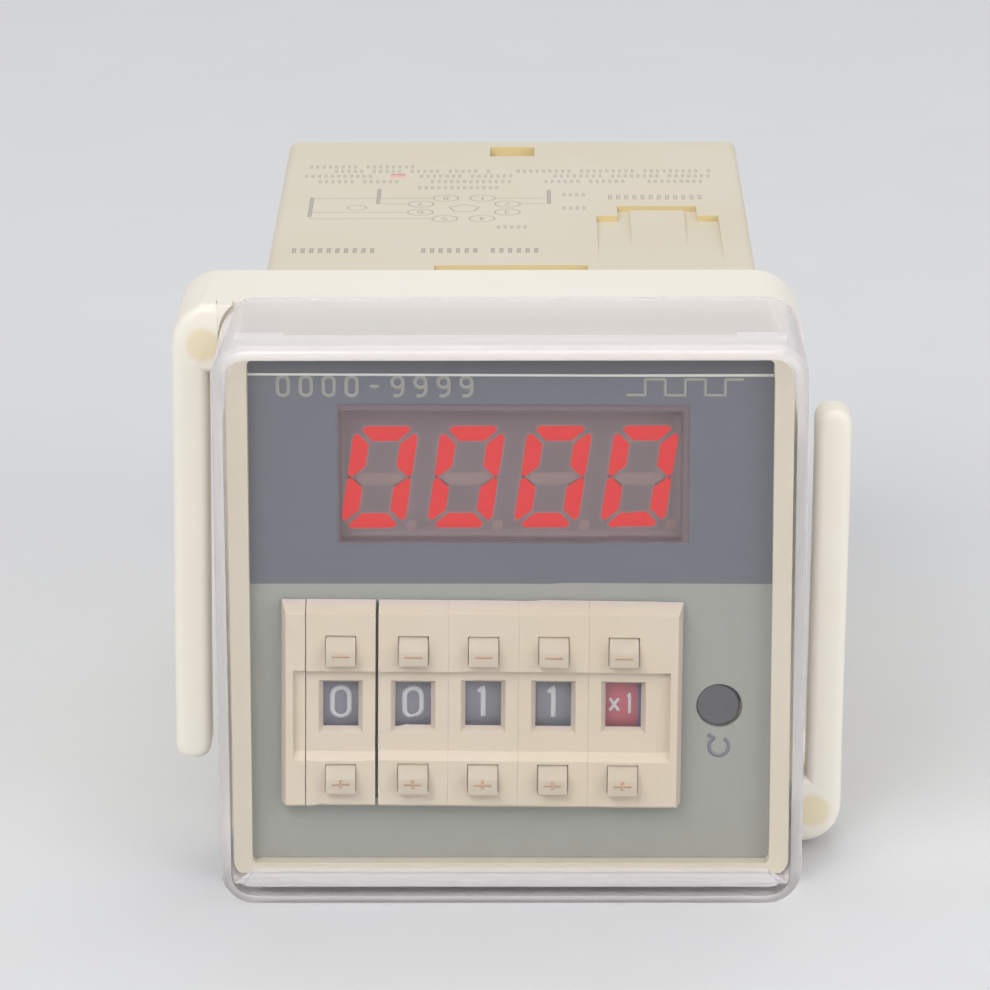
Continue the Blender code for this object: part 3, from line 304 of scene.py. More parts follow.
# %% Plain plastics, rubber and inks
BEZEL = moulded("bezel_plastic", (214, 206, 188), 0.40, 4200.0, 0.25)
CASE = moulded("case_plastic", (227, 219, 200), 0.42, 4200.0, 0.35)
# The yellower hollow walls are painted light: the warm light that gathers in the case's hollows.
CASE_HOLLOW_PAINTED_LIGHT = moulded("case_hollow_walls", (226, 208, 158), 0.42, 4200.0, 0.35)
KEY = moulded("key_plastic", (200, 188, 169), 0.36, 6000.0, 0.18)
RUBBER = moulded("reset_rubber", (84, 83, 88), 0.65, 7000.0, 0.4)
FLOOR = moulded("pale_floor", (226, 227, 229), 0.6, 900.0, 0.1, 0.15)
floor.data.materials.append(FLOOR)
WHEEL_GREY = moulded("wheel_grey", (126, 126, 137), 0.42, 6000.0, 0.15)
DIGIT = moulded("wheel_digits", (196, 200, 203), 0.5, 8000.0, 0.2, 0.3)
SIGN = moulded("key_signs", (196, 164, 136), 0.5, 8000.0, 0.2, 0.3)
BASE = moulded("base_plastic", (92, 60, 42), 0.4, 4200.0, 0.3)
BLACK = moulded("black_plastic", (30, 30, 32), 0.4, 5000.0, 0.25)
RELAY = moulded("relay_case", (226, 226, 220), 0.3, 4000.0, 0.1)
PRINT_LIGHT = moulded("face_marks", (150, 151, 143), 0.5, 8000.0, 0.15, 0.3)
PRINT_LINE = moulded("face_line", (222, 221, 216), 0.5, 8000.0, 0.1, 0.3)
PRINT_DARK = moulded("reset_mark", (118, 117, 130), 0.5, 8000.0, 0.15, 0.3)
PRINT_CASE = moulded("case_marks", (188, 184, 176), 0.55, 8000.0, 0.15, 0.5)
PRINT_FAINT = moulded("case_small_print", (204, 199, 187), 0.55, 8000.0, 0.15, 0.5)
PRINT_DOT = moulded("case_dot", (236, 182, 176), 0.55, 8000.0, 0.15, 0.5)
BOARD = moulded("board", (56, 110, 84), 0.35, 2500.0, 0.15)
print("plain materials:", len(bpy.data.materials))

# %% [markdown]
# The pins are plated brass tube, and the transformer's core is bare steel. Both carry the hairline
# scratches, and a slow noise dulls their colour in places.

# %% Metals
def metal(name, colour, roughness, scale):
    """Plated metal with fine drawing marks."""
    material, tree, shader, place = start_material(name)
    marks = node(tree, "Group", {"Place": place, "Roughness": roughness, "Amount": 0.25}, node_tree=hairs)
    worn = node(tree, "TexNoise", {"Vector": place, "Scale": scale, "Detail": 4.0})
    tone = mixed(tree, worn.outputs["Fac"], linear(*colour), linear(*[0.82 * c for c in colour]))
    feed(shader, {"Metallic": 1.0, "Roughness": marks.outputs["Roughness"], "Base Color": tone})
    return material


PIN = metal("pin_metal", (205, 202, 194), 0.22, 900.0)
CORE = metal("core_steel", (120, 116, 112), 0.45, 500.0)
print("metals:", PIN.name, "and", CORE.name)

# %% [markdown]
# Some colours change over a piece. The thumbwheel housings are painted darker and pinker in their sunk
# band, as painted shade and a painted reflection of the cover; the red wheel is only red where its label
# runs, and the bracket has two yellowed spots where it was injected.

# %% Materials whose colour changes over the piece
BAND_TOP_Y, BAND_FLOOR_Y = -1.1, -0.5
LABEL_REACH, LABEL_EDGE = 1.2 * MM, 0.08 * MM
SPOTS = ((-26.7, 8.3, 21.4), (26.9, 8.3, -21.8))
SPOT_INSIDE, SPOT_OUTSIDE = 1.2 * MM, 1.7 * MM

BLOCK, tree, place, tone = patterned("thumbwheel_plastic", 0.42, 6000.0, 0.22)
# Painted shade and a painted reflection of the cover: the sunk band is darker and pinker.
painted_band_shade = ramp(tree, place, "Y", at(0.0, BAND_TOP_Y, 0.0).y, at(0.0, BAND_FLOOR_Y, 0.0).y)
tree.links.new(mixed(tree, painted_band_shade, linear(217, 204, 183), linear(207, 195, 186)), tone)

WHEEL_RED, tree, place, tone = patterned("wheel_red", 0.42, 6000.0, 0.15)
label_end = joints["wheel_turn_5"]["pos_m"][0] + LABEL_REACH
past_label = ramp(tree, place, "X", label_end, label_end + LABEL_EDGE)
tree.links.new(mixed(tree, past_label, linear(178, 90, 104), linear(104, 106, 132)), tone)

BRACKET, tree, place, tone = patterned("bracket_plastic", 0.38, 4200.0, 0.25, 0.35)
cream = linear(249, 244, 233)
for spot in SPOTS:
    away = node(tree, "VectorMath", {0: place, 1: at(*spot)}, operation="DISTANCE")
    near = spread(tree, away.outputs["Value"], SPOT_OUTSIDE, SPOT_INSIDE, 0.0, 0.6)
    cream = mixed(tree, near, cream, linear(238, 220, 172))
tree.links.new(cream, tone)
print("materials:", len(bpy.data.materials))

# %% [markdown]
# ## Clear and printed materials
#
# The cover is one thin-walled moulding of clear plastic. Light from the lamps goes straight through it,
# which a path tracer can't find by itself, so shadow rays see a plain transparent sheet instead of the
# glass. The window is nearly clear. The side walls take a milkier material: painted light for the
# brightness that clear walls gather from all round when they are seen at a flat angle.

# %% Clear cover
def let_light_through(tree, shader, tint):
    """Shadow rays pass through tinted, and every other ray sees the shader."""
    rays = node(tree, "LightPath")
    clear = node(tree, "BsdfTransparent", {"Color": tint})
    choice = node(tree, "MixShader", {0: rays.outputs["Is Shadow Ray"], 1: shader.outputs[0],
                                      2: clear.outputs[0]})
    feed(tree.nodes["Material Output"], {"Surface": choice.outputs[0]})


def clear_plastic(name, milk, colour, roughness, gloss, waves):
    """Clear plastic; milk is the share of light that scatters in it, and a high milk is painted light."""
    material, tree, shader, place = start_material(name)
    scuffs = node(tree, "Group", {"Place": place, "Roughness": roughness, "Amount": 0.02}, node_tree=hairs)
    ripple = node(tree, "TexNoise", {"Vector": place, "Scale": 40.0, "Detail": 1.0})
    bent = node(tree, "Bump", {"Height": ripple.outputs["Fac"], "Strength": waves, "Distance": 0.0002})
    feed(shader, {"Base Color": colour, "Transmission Weight": 1.0 - milk, "IOR": 1.47,
                  "Specular IOR Level": gloss, "Roughness": scuffs.outputs["Roughness"],
                  "Normal": bent.outputs["Normal"]})
    let_light_through(tree, shader, (0.95, 0.95, 0.96, 1.0))
    return material


CLEAR = clear_plastic("clear_plastic", 0.005, (0.97, 0.97, 0.98, 1.0), 0.01, 0.2, 0.02)
# Painted light: the milkier side walls stand in for the brightness of clear walls seen at a flat angle.
CLEAR_EDGE_PAINTED_LIGHT = clear_plastic("clear_plastic_edge", 0.36, (0.955, 0.93, 0.93, 1.0), 0.04, 0.5, 0.004)
print("clear materials:", CLEAR.name, "and", CLEAR_EDGE_PAINTED_LIGHT.name)

# %% [markdown]
# The face plate is one sheet, screen printed in two colours that meet on a straight line between the
# display and the thumbwheels. Above a fine line at the top it is darker, which is painted shade. Ink has a
# faint orange-peel surface, so it gets a finer grain than moulded plastic.

# %% Printed colours and painted shade of the face plate
FACE_SPLIT_Z, FACE_LINE_Z = 2.5, 21.14
INK_EDGE = 0.02 * MM
face_split, face_line = (at(0.0, 0.0, height).z for height in (FACE_SPLIT_Z, FACE_LINE_Z))
PRINT_AND_PAINTED_SHADE, tree, place, tone = patterned("face_print", 0.5, 9000.0, 0.006, 0.25)
below = ramp(tree, place, "Z", face_split + INK_EDGE, face_split - INK_EDGE)
# Painted shade: above the fine line at the top, the plate is darker.
above = ramp(tree, place, "Z", face_line - INK_EDGE, face_line + INK_EDGE)
ink = mixed(tree, below, linear(101, 104, 113), linear(155, 157, 149))
tree.links.new(mixed(tree, above, ink, linear(86, 88, 94)), tone)
print("the two inks meet", FACE_SPLIT_Z, "mm above the middle")

# %% [markdown]
# The filter is a smoke-red sheet with a matt front. It lets most of the red through and dims the rest,
# which keeps the unlit parts of the display quiet. Along its rim, where it meets the plate, one mask turns
# it opaque and paler: painted light over the shade that the plate casts on the display there. Shadow rays
# pass it, so that the lamps reach the display.

# %% Display filter
WINDOW_MIDDLE, WINDOW_HALF = (0.03, 12.1), (14.75, 5.95)
WINDOW_BLUR = 0.3


def window_rim(tree, place, blur, inset=0.0):
    """A mask from 0 to 1 toward the rim of the display window, over a width in millimetres."""
    rim = None
    for axis, middle, half in zip("XZ", WINDOW_MIDDLE, WINDOW_HALF):
        for side in (-1, 1):
            end = (middle + side * (half - inset)) * MM + (MIDDLE.z if axis == "Z" else 0.0)
            fade = ramp(tree, place, axis, end - side * blur * MM, end)
            rim = reckoned(tree, "MAXIMUM", rim, fade) if rim else fade
    return rim


FILTER, tree, place, tone = patterned("filter_tint", 0.32, 5000.0, 0.02, 0.2, 0.15)
shader = tree.nodes["Principled BSDF"]
rim = window_rim(tree, place, WINDOW_BLUR)
# Painted light: toward the rim the filter turns paler and opaque, over the shade that the plate casts.
tree.links.new(mixed(tree, rim, linear(100, 62, 66), linear(118, 104, 109)), tone)
feed(shader, {"Alpha": spread(tree, rim, 0.0, 1.0, 0.25, 0.9)})
let_light_through(tree, shader, (0.92, 0.86, 0.87, 1.0))
print("window:", [2 * half for half in WINDOW_HALF], "mm, rim blurred over", WINDOW_BLUR, "mm")

# %% [markdown]
# Lit segments are light guides filled with milky resin that glows evenly. Unlit ones show the pale resin
# itself. The display's body is painted paler toward its edge: painted light that makes up for the shade
# that the plate casts there.

# %% Display body, wells, lit and unlit segments
PAINTED_LIGHT_EDGE, PAINTED_LIGHT_INSET = 0.9, 0.1
LED_BODY, tree, place, tone = patterned("led_body", 0.5, 5000.0, 0.2, 0.3)
# Painted light: the body is made paler near the window's edge, to make up for the shade the plate casts.
edge = window_rim(tree, place, PAINTED_LIGHT_EDGE, PAINTED_LIGHT_INSET)
tree.links.new(mixed(tree, edge, linear(164, 161, 164), linear(204, 199, 201)), tone)
WELL = moulded("led_wells", (190, 179, 177), 0.5, 5000.0, 0.15, 0.3)
UNLIT = moulded("led_unlit", (202, 187, 180), 0.35, 5000.0, 0.1, 0.3)
LIT, tree, shader, place = start_material("led_lit")
flicker = node(tree, "TexNoise", {"Vector": place, "Scale": 420.0, "Detail": 2.0})
glow = mixed(tree, flicker.outputs["Fac"], (1.0, 0.006, 0.001, 1.0), (1.0, 0.012, 0.002, 1.0))
feed(shader, {"Base Color": linear(70, 18, 16), "Specular IOR Level": 0.0, "Roughness": 0.4,
              "Emission Color": glow, "Emission Strength": 1.16})
print("display materials:", ", ".join(m.name for m in (LED_BODY, WELL, UNLIT, LIT)))

# %% [markdown]
# ## Pieces that dress a solid
#
# Moulded parts have soft edges. A copy of each exact solid is cleaned of its triangles, its edges are
# rounded with a small bevel, and the copy stands for the solid. It rides the same body, so it moves as
# the solid does.

# %% Dress a solid
BODY_OF = {"clear_cover": "cover", "mounting_bracket": "bracket", "reset_button": "reset"}
for k in UNITS:
    BODY_OF[f"number_wheel_{k}"] = f"wheel_{k}"
    BODY_OF[f"minus_button_{k}"] = f"minus_key_{k}"
    BODY_OF[f"plus_button_{k}"] = f"plus_key_{k}"


def show(name, form, material, body="body"):
    """Make a bmesh a finished piece."""
    mesh = bpy.data.meshes.new(name)
    form.to_mesh(mesh)
    form.free()
    mesh.materials.append(material)
    piece = bpy.data.objects.new(name, mesh)
    scene.collection.objects.link(piece)
    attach(piece, body)
    return piece


def soften(piece, width, segments=3, angle=30.0):
    """Round the sharp edges of a piece by a width in millimetres."""
    rounding = piece.modifiers.new("soft_edges", "BEVEL")
    rounding.limit_method = "ANGLE"
    rounding.angle_limit = radians(angle)
    rounding.width = width * MM
    rounding.segments = segments
    rounding.harden_normals = True
    return piece


print("moving pieces:", len(BODY_OF))

# %% [markdown]
# A CAD mesh is loose triangles. A copy is merged and its flat faces are joined, so that a bevel finds
# only the real edges. Where a copy has to be a little larger, to close a gap that only the fit of the
# solids needs, all its corners move out from its middle.

# %% Copies of the solids
MERGE_WITHIN = 0.002 * MM


def join_flat_faces(form):
    bmesh.ops.remove_doubles(form, verts=form.verts, dist=MERGE_WITHIN)
    bmesh.ops.dissolve_limit(form, angle_limit=radians(0.5), verts=form.verts, edges=form.edges,
                             use_dissolve_boundaries=False, delimit={"NORMAL"})
    bmesh.ops.recalc_face_normals(form, faces=form.faces)
    return form


def widened(form, x=0.0, z=0.0):
    """Make a form wider and higher about its middle, by so many millimetres in all."""
    spots = [vert.co for vert in form.verts]
    low = Vector([min(spot[k] for spot in spots) for k in range(3)])
    high = Vector([max(spot[k] for spot in spots) for k in range(3)])
    middle = (low + high) / 2
    for vert in form.verts:
        vert.co.x = middle.x + (vert.co.x - middle.x) * (1 + x * MM / (high.x - low.x))
        vert.co.z = middle.z + (vert.co.z - middle.z) * (1 + z * MM / (high.z - low.z))
    return form


def clean_copy(node_name, whole_faces=True):
    """The solid of a node as a bmesh, with its flat faces joined unless triangles are better."""
    source = frame["nodes"][node_name]
    form = bmesh.new()
    form.from_mesh(source.data)
    bmesh.ops.transform(form, matrix=source.matrix_world, verts=form.verts)
    bmesh.ops.remove_doubles(form, verts=form.verts, dist=MERGE_WITHIN)
    if whole_faces:
        join_flat_faces(form)
    bmesh.ops.recalc_face_normals(form, faces=form.faces)
    for face in form.faces:
        face.smooth = True
    return form


def dress(node_name, material, width, segments=3, angle=30.0, form=None):
    """Put a softened copy in the place of a node's solid."""
    form = form or clean_copy(node_name)
    piece = show("soft_" + node_name, form, material, BODY_OF.get(node_name, "body"))
    for layer in ("custom_normal", "sharp_edge", "sharp_face"):
        if layer in piece.data.attributes:
            piece.data.attributes.remove(piece.data.attributes[layer])
    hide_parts(node_name)
    return soften(piece, width, segments, angle)


sample = clean_copy("end_plate_left")
print("end plate:", len(sample.faces), "faces once its flat ones are joined")
sample.free()

# %% [markdown]
# ## Cover
#
# The cover is a thin clear tray that clips over the bezel. Inside, the moulder rounds the corner between
# its window and its walls, widely at the bottom and tightly elsewhere. Bevelling just those edges of the
# copy makes it, before the small bevel goes over everything.

# %% Clear cover with rounded inner corners
cover_form = clean_copy("clear_cover")
INNER_FRONT = -4.5
CORNERS = ((-25.0, -23.5, 2.3), (-20.0, 25.0, 0.5))
STEEP = radians(60)
FACES_FRONT = 0.999


def inner_corner(lowest, highest):
    """Edges between the window's inner face and the inner walls, between two heights."""
    return [edge for edge in cover_form.edges
            if all(abs((vert.co.y - MIDDLE.y) / MM - INNER_FRONT) < SAME for vert in edge.verts)
            and all(lowest < (vert.co.z - MIDDLE.z) / MM < highest for vert in edge.verts)
            and edge.calc_face_angle(0.0) > STEEP]


for lowest, highest, radius in CORNERS:
    edges = inner_corner(lowest, highest)
    bmesh.ops.bevel(cover_form, geom=edges, offset=radius * MM, segments=5, profile=0.5, affect="EDGES",
                    material=-1)
    print("cover: inner corner of", len(edges), "edges rounded to", radius, "mm")
for face in cover_form.faces:
    face.smooth = True
cover = dress("clear_cover", CLEAR, 0.15, form=cover_form)
# The side walls and rounded corners take the painted-light material.
cover.data.materials.append(CLEAR_EDGE_PAINTED_LIGHT)
for face in cover.data.polygons:
    in_window = abs(face.normal.y) > FACES_FRONT and face.center.y < MIDDLE.y
    face.material_index = 0 if in_window else 1

# %% [markdown]
# ## Bezel, face plate and display
#
# The bezel is a cream frame, and its rim is a little wider at both sides than the exact one. The plate
# and the filter are laid in it, so their copies are widened until no gap shows round them.

# %% Bezel, face plate, filter and display body
RIM_INSIDE, RIM_REAR, RIM_SHIFT = (22.4, 22.95), 1.2, 0.42
PLATE_GROWS, FILTER_GROWS = 0.34, 0.9
bezel_form = clean_copy("front_bezel")
for vert in bezel_form.verts:
    x, y, z = (vert.co - MIDDLE) / MM
    if RIM_INSIDE[0] < abs(x) < RIM_INSIDE[1] and y < RIM_REAR:
        vert.co = at(x - RIM_SHIFT if x > 0 else x + RIM_SHIFT, y, z)
dress("front_bezel", BEZEL, 0.25, form=bezel_form)
dress("face_plate", PRINT_AND_PAINTED_SHADE, 0.05, 2,
      form=widened(clean_copy("face_plate"), PLATE_GROWS, PLATE_GROWS))
dress("display_filter", FILTER, 0.03, 2,
      form=widened(clean_copy("display_filter"), FILTER_GROWS, FILTER_GROWS))
dress("led_display", LED_BODY, 0.15)
print("bezel rim wider by", RIM_SHIFT, "mm at each side")

# %% [markdown]
# ## Thumbwheel block
#
# Each unit is a housing with a number wheel behind its window and a key above and below. The slot round a
# key is finer on the real unit than on the solid, so the slot's corners move in. The housings are widened
# too, which leaves the hairline joints between them. Their windows flare, so they keep their triangles.

# %% Thumbwheel block
SLOT_SIDE, SLOT_SIDE_SHOWN = 1.475, 1.31
SLOT_RISE, SLOT_RISE_SHOWN = 1.45, 1.285
SIDE_WITHIN, RISE_WITHIN = 0.03, 0.05
FIRST_GROWS, OTHERS_GROW = 0.03, 0.08


def close_key_slots(form, k):
    """Narrow the gap round a unit's two keys, to what shows on such a unit."""
    hub = Vector(joints[f"wheel_turn_{k}"]["pos_m"])
    upright = Matrix.Translation(hub) @ BLOCK_TURN
    back = upright.inverted()
    levels = [(back @ middle_of(f"{key}_button_{k}")).z / MM for key in ("minus", "plus")]
    for vert in form.verts:
        x, y, z = (back @ vert.co) / MM
        level = min(levels, key=lambda height: abs(height - z))
        if abs(abs(x) - SLOT_SIDE) < SIDE_WITHIN and abs(abs(z - level) - SLOT_RISE) < RISE_WITHIN:
            x = SLOT_SIDE_SHOWN if x > 0 else -SLOT_SIDE_SHOWN
            z = level + (SLOT_RISE_SHOWN if z > level else -SLOT_RISE_SHOWN)
            vert.co = upright @ (Vector((x, y, z)) * MM)
    return form


for k in UNITS:
    housing = close_key_slots(clean_copy(f"thumbwheel_housing_{k}", whole_faces=False), k)
    dress(f"thumbwheel_housing_{k}", BLOCK, 0.04,
          form=widened(housing, FIRST_GROWS if k == 1 else OTHERS_GROW))
    for key in ("minus_button", "plus_button"):
        dress(f"{key}_{k}", KEY, 0.16)
    wheel, wheel_slot = (WHEEL_RED, "wheel_red") if k == 5 else (WHEEL_GREY, "wheel_grey")
    dress(f"number_wheel_{k}", wheel, 0.06, 2)
for side in ("left", "right"):
    dress(f"end_plate_{side}", BLOCK, 0.07)
print("units:", len(UNITS), "with slots of", round(2 * SLOT_SIDE_SHOWN, 2), "mm")

# %% [markdown]
# ## Case
#
# The case is one long moulding. Its top has a hollow with a tongue, and the copy's hollow ends sooner and
# is shallower, as it shows. Its long edges are rounded less. The front walls of the hollows take a second,
# yellower material: painted light, standing in for the warm light that gathers in the hollows.

# %% Reset button and case
dress("reset_button", RUBBER, 0.22)
HOLLOW_FRONT, HOLLOW_REAR, HOLLOW_REAR_SHOWN = 33.0, 58.5, 53.6
HOLLOW_ACROSS, HOLLOW_DEEPEST = (7.9, 19.6), 1.5
HOLLOW_SIDES = ((9.2, 10.0), (10.7, 11.2), (17.4, 16.3), (18.3, 17.5))
HOLLOW_DEPTH_SHARE = 0.62
HOLLOW_LENGTH_SHARE = (HOLLOW_REAR_SHOWN - HOLLOW_FRONT) / (HOLLOW_REAR - HOLLOW_FRONT)
CASE_RADIUS, CASE_RADIUS_SHOWN = 1.5, 0.9
WALLS_BEHIND, WALLS_INSIDE, WALLS_DEEPEST = 20.0, 20.0, 1.6

case_form = clean_copy("case", whole_faces=False)
case_top = (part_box("case")[1].z - MIDDLE.z) / MM


def less_round(distance):
    """Bring a place on a rounded long edge nearer to the corner."""
    moved = case_top - (case_top - abs(distance)) * CASE_RADIUS_SHOWN / CASE_RADIUS
    return moved if distance > 0 else -moved


for vert in case_form.verts:
    x, y, z = (vert.co - MIDDLE) / MM
    in_length = HOLLOW_FRONT < y < HOLLOW_REAR + 0.1
    if case_top - HOLLOW_DEEPEST < z and HOLLOW_ACROSS[0] < x < HOLLOW_ACROSS[1] and in_length:
        y = HOLLOW_FRONT + (y - HOLLOW_FRONT) * HOLLOW_LENGTH_SHARE
        z = case_top - (case_top - z) * HOLLOW_DEPTH_SHARE
        for made, shown in HOLLOW_SIDES:
            x = shown if abs(x - made) < 0.05 else x
    if min(abs(x), abs(z)) > case_top - CASE_RADIUS - SAME:
        x, z = less_round(x), less_round(z)
    vert.co = at(x, y, z)
case = dress("case", CASE, 0.2, form=join_flat_faces(case_form))
# The front walls of the hollows get the painted warm light.
case.data.materials.append(CASE_HOLLOW_PAINTED_LIGHT)
for face in case.data.polygons:
    x, y, z = (face.center - MIDDLE) / MM
    faces_front = face.normal.y < -0.9 and y > WALLS_BEHIND
    if faces_front and abs(x) < WALLS_INSIDE and z > case_top - WALLS_DEEPEST:
        face.material_index = 1
print("case top:", round(case_top, 2), "mm above the middle")

# %% [markdown]
# ## Mounting bracket
#
# The bracket is a ring round the case, with an ear and a spring arm at two opposite corners. On the copy
# the ears' corners are made straight, the ring's front comes up behind the cover, and the ears' inner
# sides move in beside it. Then the outer edges of the ears' fronts are rounded widely.

# %% Mounting bracket
ring_side = 25.6
ear_front, ring_rear = 8.3, 20.3
ring_front, ring_front_shown = 12.1, 10.2
ear_inside_shown = 25.35
EAR_FROM, EAR_CORNER_FROM, EAR_STRAIGHT_FROM = 21.0, 21.3, 17.3
EAR_HALF_DEPTH = 12.5
EAR_ROUND = 0.8
bracket_form = clean_copy("mounting_bracket", whole_faces=False)
bracket_top = (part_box("mounting_bracket")[1].z - MIDDLE.z) / MM
for vert in bracket_form.verts:
    x, y, z = (vert.co - MIDDLE) / MM
    if x * z > 0:
        continue
    if EAR_FROM < abs(x) < ring_side + 0.1 and abs(z) > bracket_top - 0.6:
        z = bracket_top if z > 0 else -bracket_top
    if abs(x) > ring_side + 0.2 and abs(z) > EAR_CORNER_FROM:
        y = ear_front if y < EAR_HALF_DEPTH else ring_rear
    if y < ear_front and abs(z) > EAR_STRAIGHT_FROM:
        y = ear_front
    vert.co = at(x, y, z)
for vert in bracket_form.verts:
    x, y, z = (vert.co - MIDDLE) / MM
    if abs(abs(x) - ring_side) < 2 * SAME and y < ring_front - 0.1:
        x = ear_inside_shown if x > 0 else -ear_inside_shown
    y = ring_front_shown if abs(y - ring_front) < 2 * SAME else y
    vert.co = at(x, y, z)
join_flat_faces(bracket_form)
front_edges = [edge for edge in bracket_form.edges
               if all((vert.co.y - MIDDLE.y) / MM < ear_front + 2 * SAME for vert in edge.verts)
               and any(abs(vert.co.x) / MM > ring_side + 0.1 for vert in edge.verts)
               and edge.calc_face_angle(0.0) > radians(50)]
bmesh.ops.bevel(bracket_form, geom=front_edges, offset=EAR_ROUND * MM, segments=5, profile=0.5,
                affect="EDGES", clamp_overlap=True, material=-1)
for face in bracket_form.faces:
    face.smooth = True
dress("mounting_bracket", BRACKET, 0.3, 4, form=bracket_form)
print("bracket:", len(front_edges), "front edges rounded")

# %% [markdown]
# ## Plug and hidden pieces
#
# The plug at the rear is a brown octal base with eight plated pins. The boards and switching parts inside
# the case can't be seen, so they keep their solids and only take a finish.

# %% Plug, and pieces that keep their solids
HIDDEN = {"display_board": BOARD, "switch_board": BOARD, "main_board": BOARD, "reset_switch": BLACK,
          "capacitor": BLACK, "relay": RELAY, "transformer": CORE}
dress("octal_base", BASE, 0.2)
for k in range(1, 9):
    dress(f"pin_{k}", PIN, 0.1, 2, 40.0)
for node_name, material in HIDDEN.items():
    solid = frame["nodes"][node_name]
    solid.data.materials.clear()
    solid.data.materials.append(material)

# %% [markdown]
# ## The lit display
#
# Each digit has seven bars with slanted ends, set in pale wells, and a dot at its lower right. The whole
# digit leans to the right. Three bars are drawn as short outlines about the digit's middle, and the other
# four are their mirror images. The display shows zero, so the middle bars and the dots stay dark.

# %% Bars of one digit
DIGIT_LEAN = 0.143
DIGIT_PITCH = 7.44
FIRST_DIGIT_X = -11.28
DIGIT_Z = 11.56
DIGIT_CLIMB = 0.0075
DOT_PLACE = (2.70, -4.33)
DOT_RADIUS = 0.49
TOP_BAR = ((-1.78, 4.55), (1.78, 4.55), (2.08, 4.21), (1.08, 3.24), (-1.08, 3.24), (-2.08, 4.21))
SIDE_BAR = ((2.42, 3.90), (2.77, 3.58), (2.75, 0.30), (2.42, 0.02), (1.34, 0.97), (1.34, 2.93))
MIDDLE_BAR = ((-2.05, -0.17), (-1.65, 0.26), (1.65, 0.26), (2.05, -0.17), (1.65, -0.59), (-1.65, -0.59))


def mirrored(points, side, height):
    """An outline turned over: side and height are 1, or -1 to mirror it across that way."""
    return tuple((x * side, z * height) for x, z in points)


ZERO_BARS = [TOP_BAR, mirrored(TOP_BAR, 1, -1)]
ZERO_BARS += [mirrored(SIDE_BAR, a, b) for a in (1, -1) for b in (1, -1)]


def grown(points, by):
    """An outline with every corner moved outward by about a distance."""
    middle = Vector((sum(x for x, _ in points), sum(z for _, z in points))) / len(points)
    moved = []
    for x, z in points:
        out = Vector((x, z)) - middle
        moved.append(tuple(middle + out + Vector((by if out.x > 0 else -by, by if out.y > 0 else -by))))
    return moved


def round_outline(radius, steps=20):
    return [(radius * cos(2 * pi * k / steps), radius * sin(2 * pi * k / steps)) for k in range(steps)]


print("bars of a zero:", len(ZERO_BARS))

# %% [markdown]
# A bar is a thin plate: one face on its outline, extruded forward. The same helper later fills the
# corners of the bracket. Wells, lit bars and unlit bars are three pieces, because each has its own
# material.

# %% Plates on the display
WELL_GROWS = 0.16
WELL_RAISED, BAR_RAISED, PLATE_THICK = 0.01, 0.03, 0.06


def plates(outlines, front, thick):
    """Flat plates in one bmesh: outlines as (X, Z) in millimetres, with their front at a depth."""
    form = bmesh.new()
    for points in outlines:
        rim = [form.verts.new(at(x, front + thick, z)) for x, z in points]
        face = form.faces.new(rim)
        moved = [g for g in bmesh.ops.extrude_face_region(form, geom=[face])["geom"]
                 if isinstance(g, bmesh.types.BMVert)]
        bmesh.ops.translate(form, verts=moved, vec=(0.0, -thick * MM, 0.0))
    bmesh.ops.recalc_face_normals(form, faces=form.faces)
    return form


def on_display(points, place):
    """Lean a digit's outline and move it to its place on the display."""
    middle = FIRST_DIGIT_X + place * DIGIT_PITCH
    return [(middle + x + DIGIT_LEAN * z, DIGIT_Z + z + DIGIT_CLIMB * (middle + x)) for x, z in points]


led_front = (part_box("led_display")[0].y - MIDDLE.y) / MM
digits = range(4)
dot = [(x + DOT_PLACE[0] - DIGIT_LEAN * DOT_PLACE[1], z + DOT_PLACE[1])
       for x, z in round_outline(DOT_RADIUS)]
wells = [on_display(grown(bar, WELL_GROWS), d) for d in digits for bar in ZERO_BARS + [MIDDLE_BAR]]
lit = [on_display(bar, d) for d in digits for bar in ZERO_BARS]
unlit = [on_display(bar, d) for d in digits for bar in (MIDDLE_BAR, dot)]
show("led_wells", plates(wells, led_front - WELL_RAISED, PLATE_THICK), WELL)
show("led_lit_bars", plates(lit, led_front - BAR_RAISED, PLATE_THICK), LIT)
show("led_unlit_bars", plates(unlit, led_front - BAR_RAISED, PLATE_THICK), UNLIT)
print("display front at", round(led_front, 2), "mm behind the face, with", len(lit), "lit bars")

# %% [markdown]
# ## Corners of the bracket
#
# Beside each ear the bracket's front comes forward round the corner of the cover. The exact ring stays
# behind the panel there, so a small web with the cover's own curve fills the corner, and rides on the
# bracket.

# %% Bracket corners beside the cover
COVER_RADIUS, WEB_GAP = 3.0, 0.03
WEB_SUNK, WEB_BEVEL, CURVE_STEPS = 0.1, 0.1, 8
cover_side = (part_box("clear_cover")[1].x - MIDDLE.x) / MM
cover_top = (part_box("clear_cover")[1].z - MIDDLE.z) / MM
web_radius = COVER_RADIUS + WEB_GAP
web_side = ear_inside_shown + WEB_SUNK
curve_end = asin((bracket_top - cover_top + COVER_RADIUS) / web_radius)
web = [(cover_side - COVER_RADIUS + web_radius * cos(curve_end * k / CURVE_STEPS),
        cover_top - COVER_RADIUS + web_radius * sin(curve_end * k / CURVE_STEPS))
       for k in range(CURVE_STEPS + 1)]
web += [(web_side, bracket_top), (web_side, cover_top - COVER_RADIUS)]
corner_webs = plates([mirrored(web, -1, 1), mirrored(web, 1, -1)], ear_front + WEB_SUNK,
                     ring_front_shown - ear_front)
soften(show("bracket_corner_webs", corner_webs, BRACKET, "bracket"), WEB_BEVEL, 2)
print("corner webs:", round(bracket_top - cover_top + COVER_RADIUS, 2), "mm high")

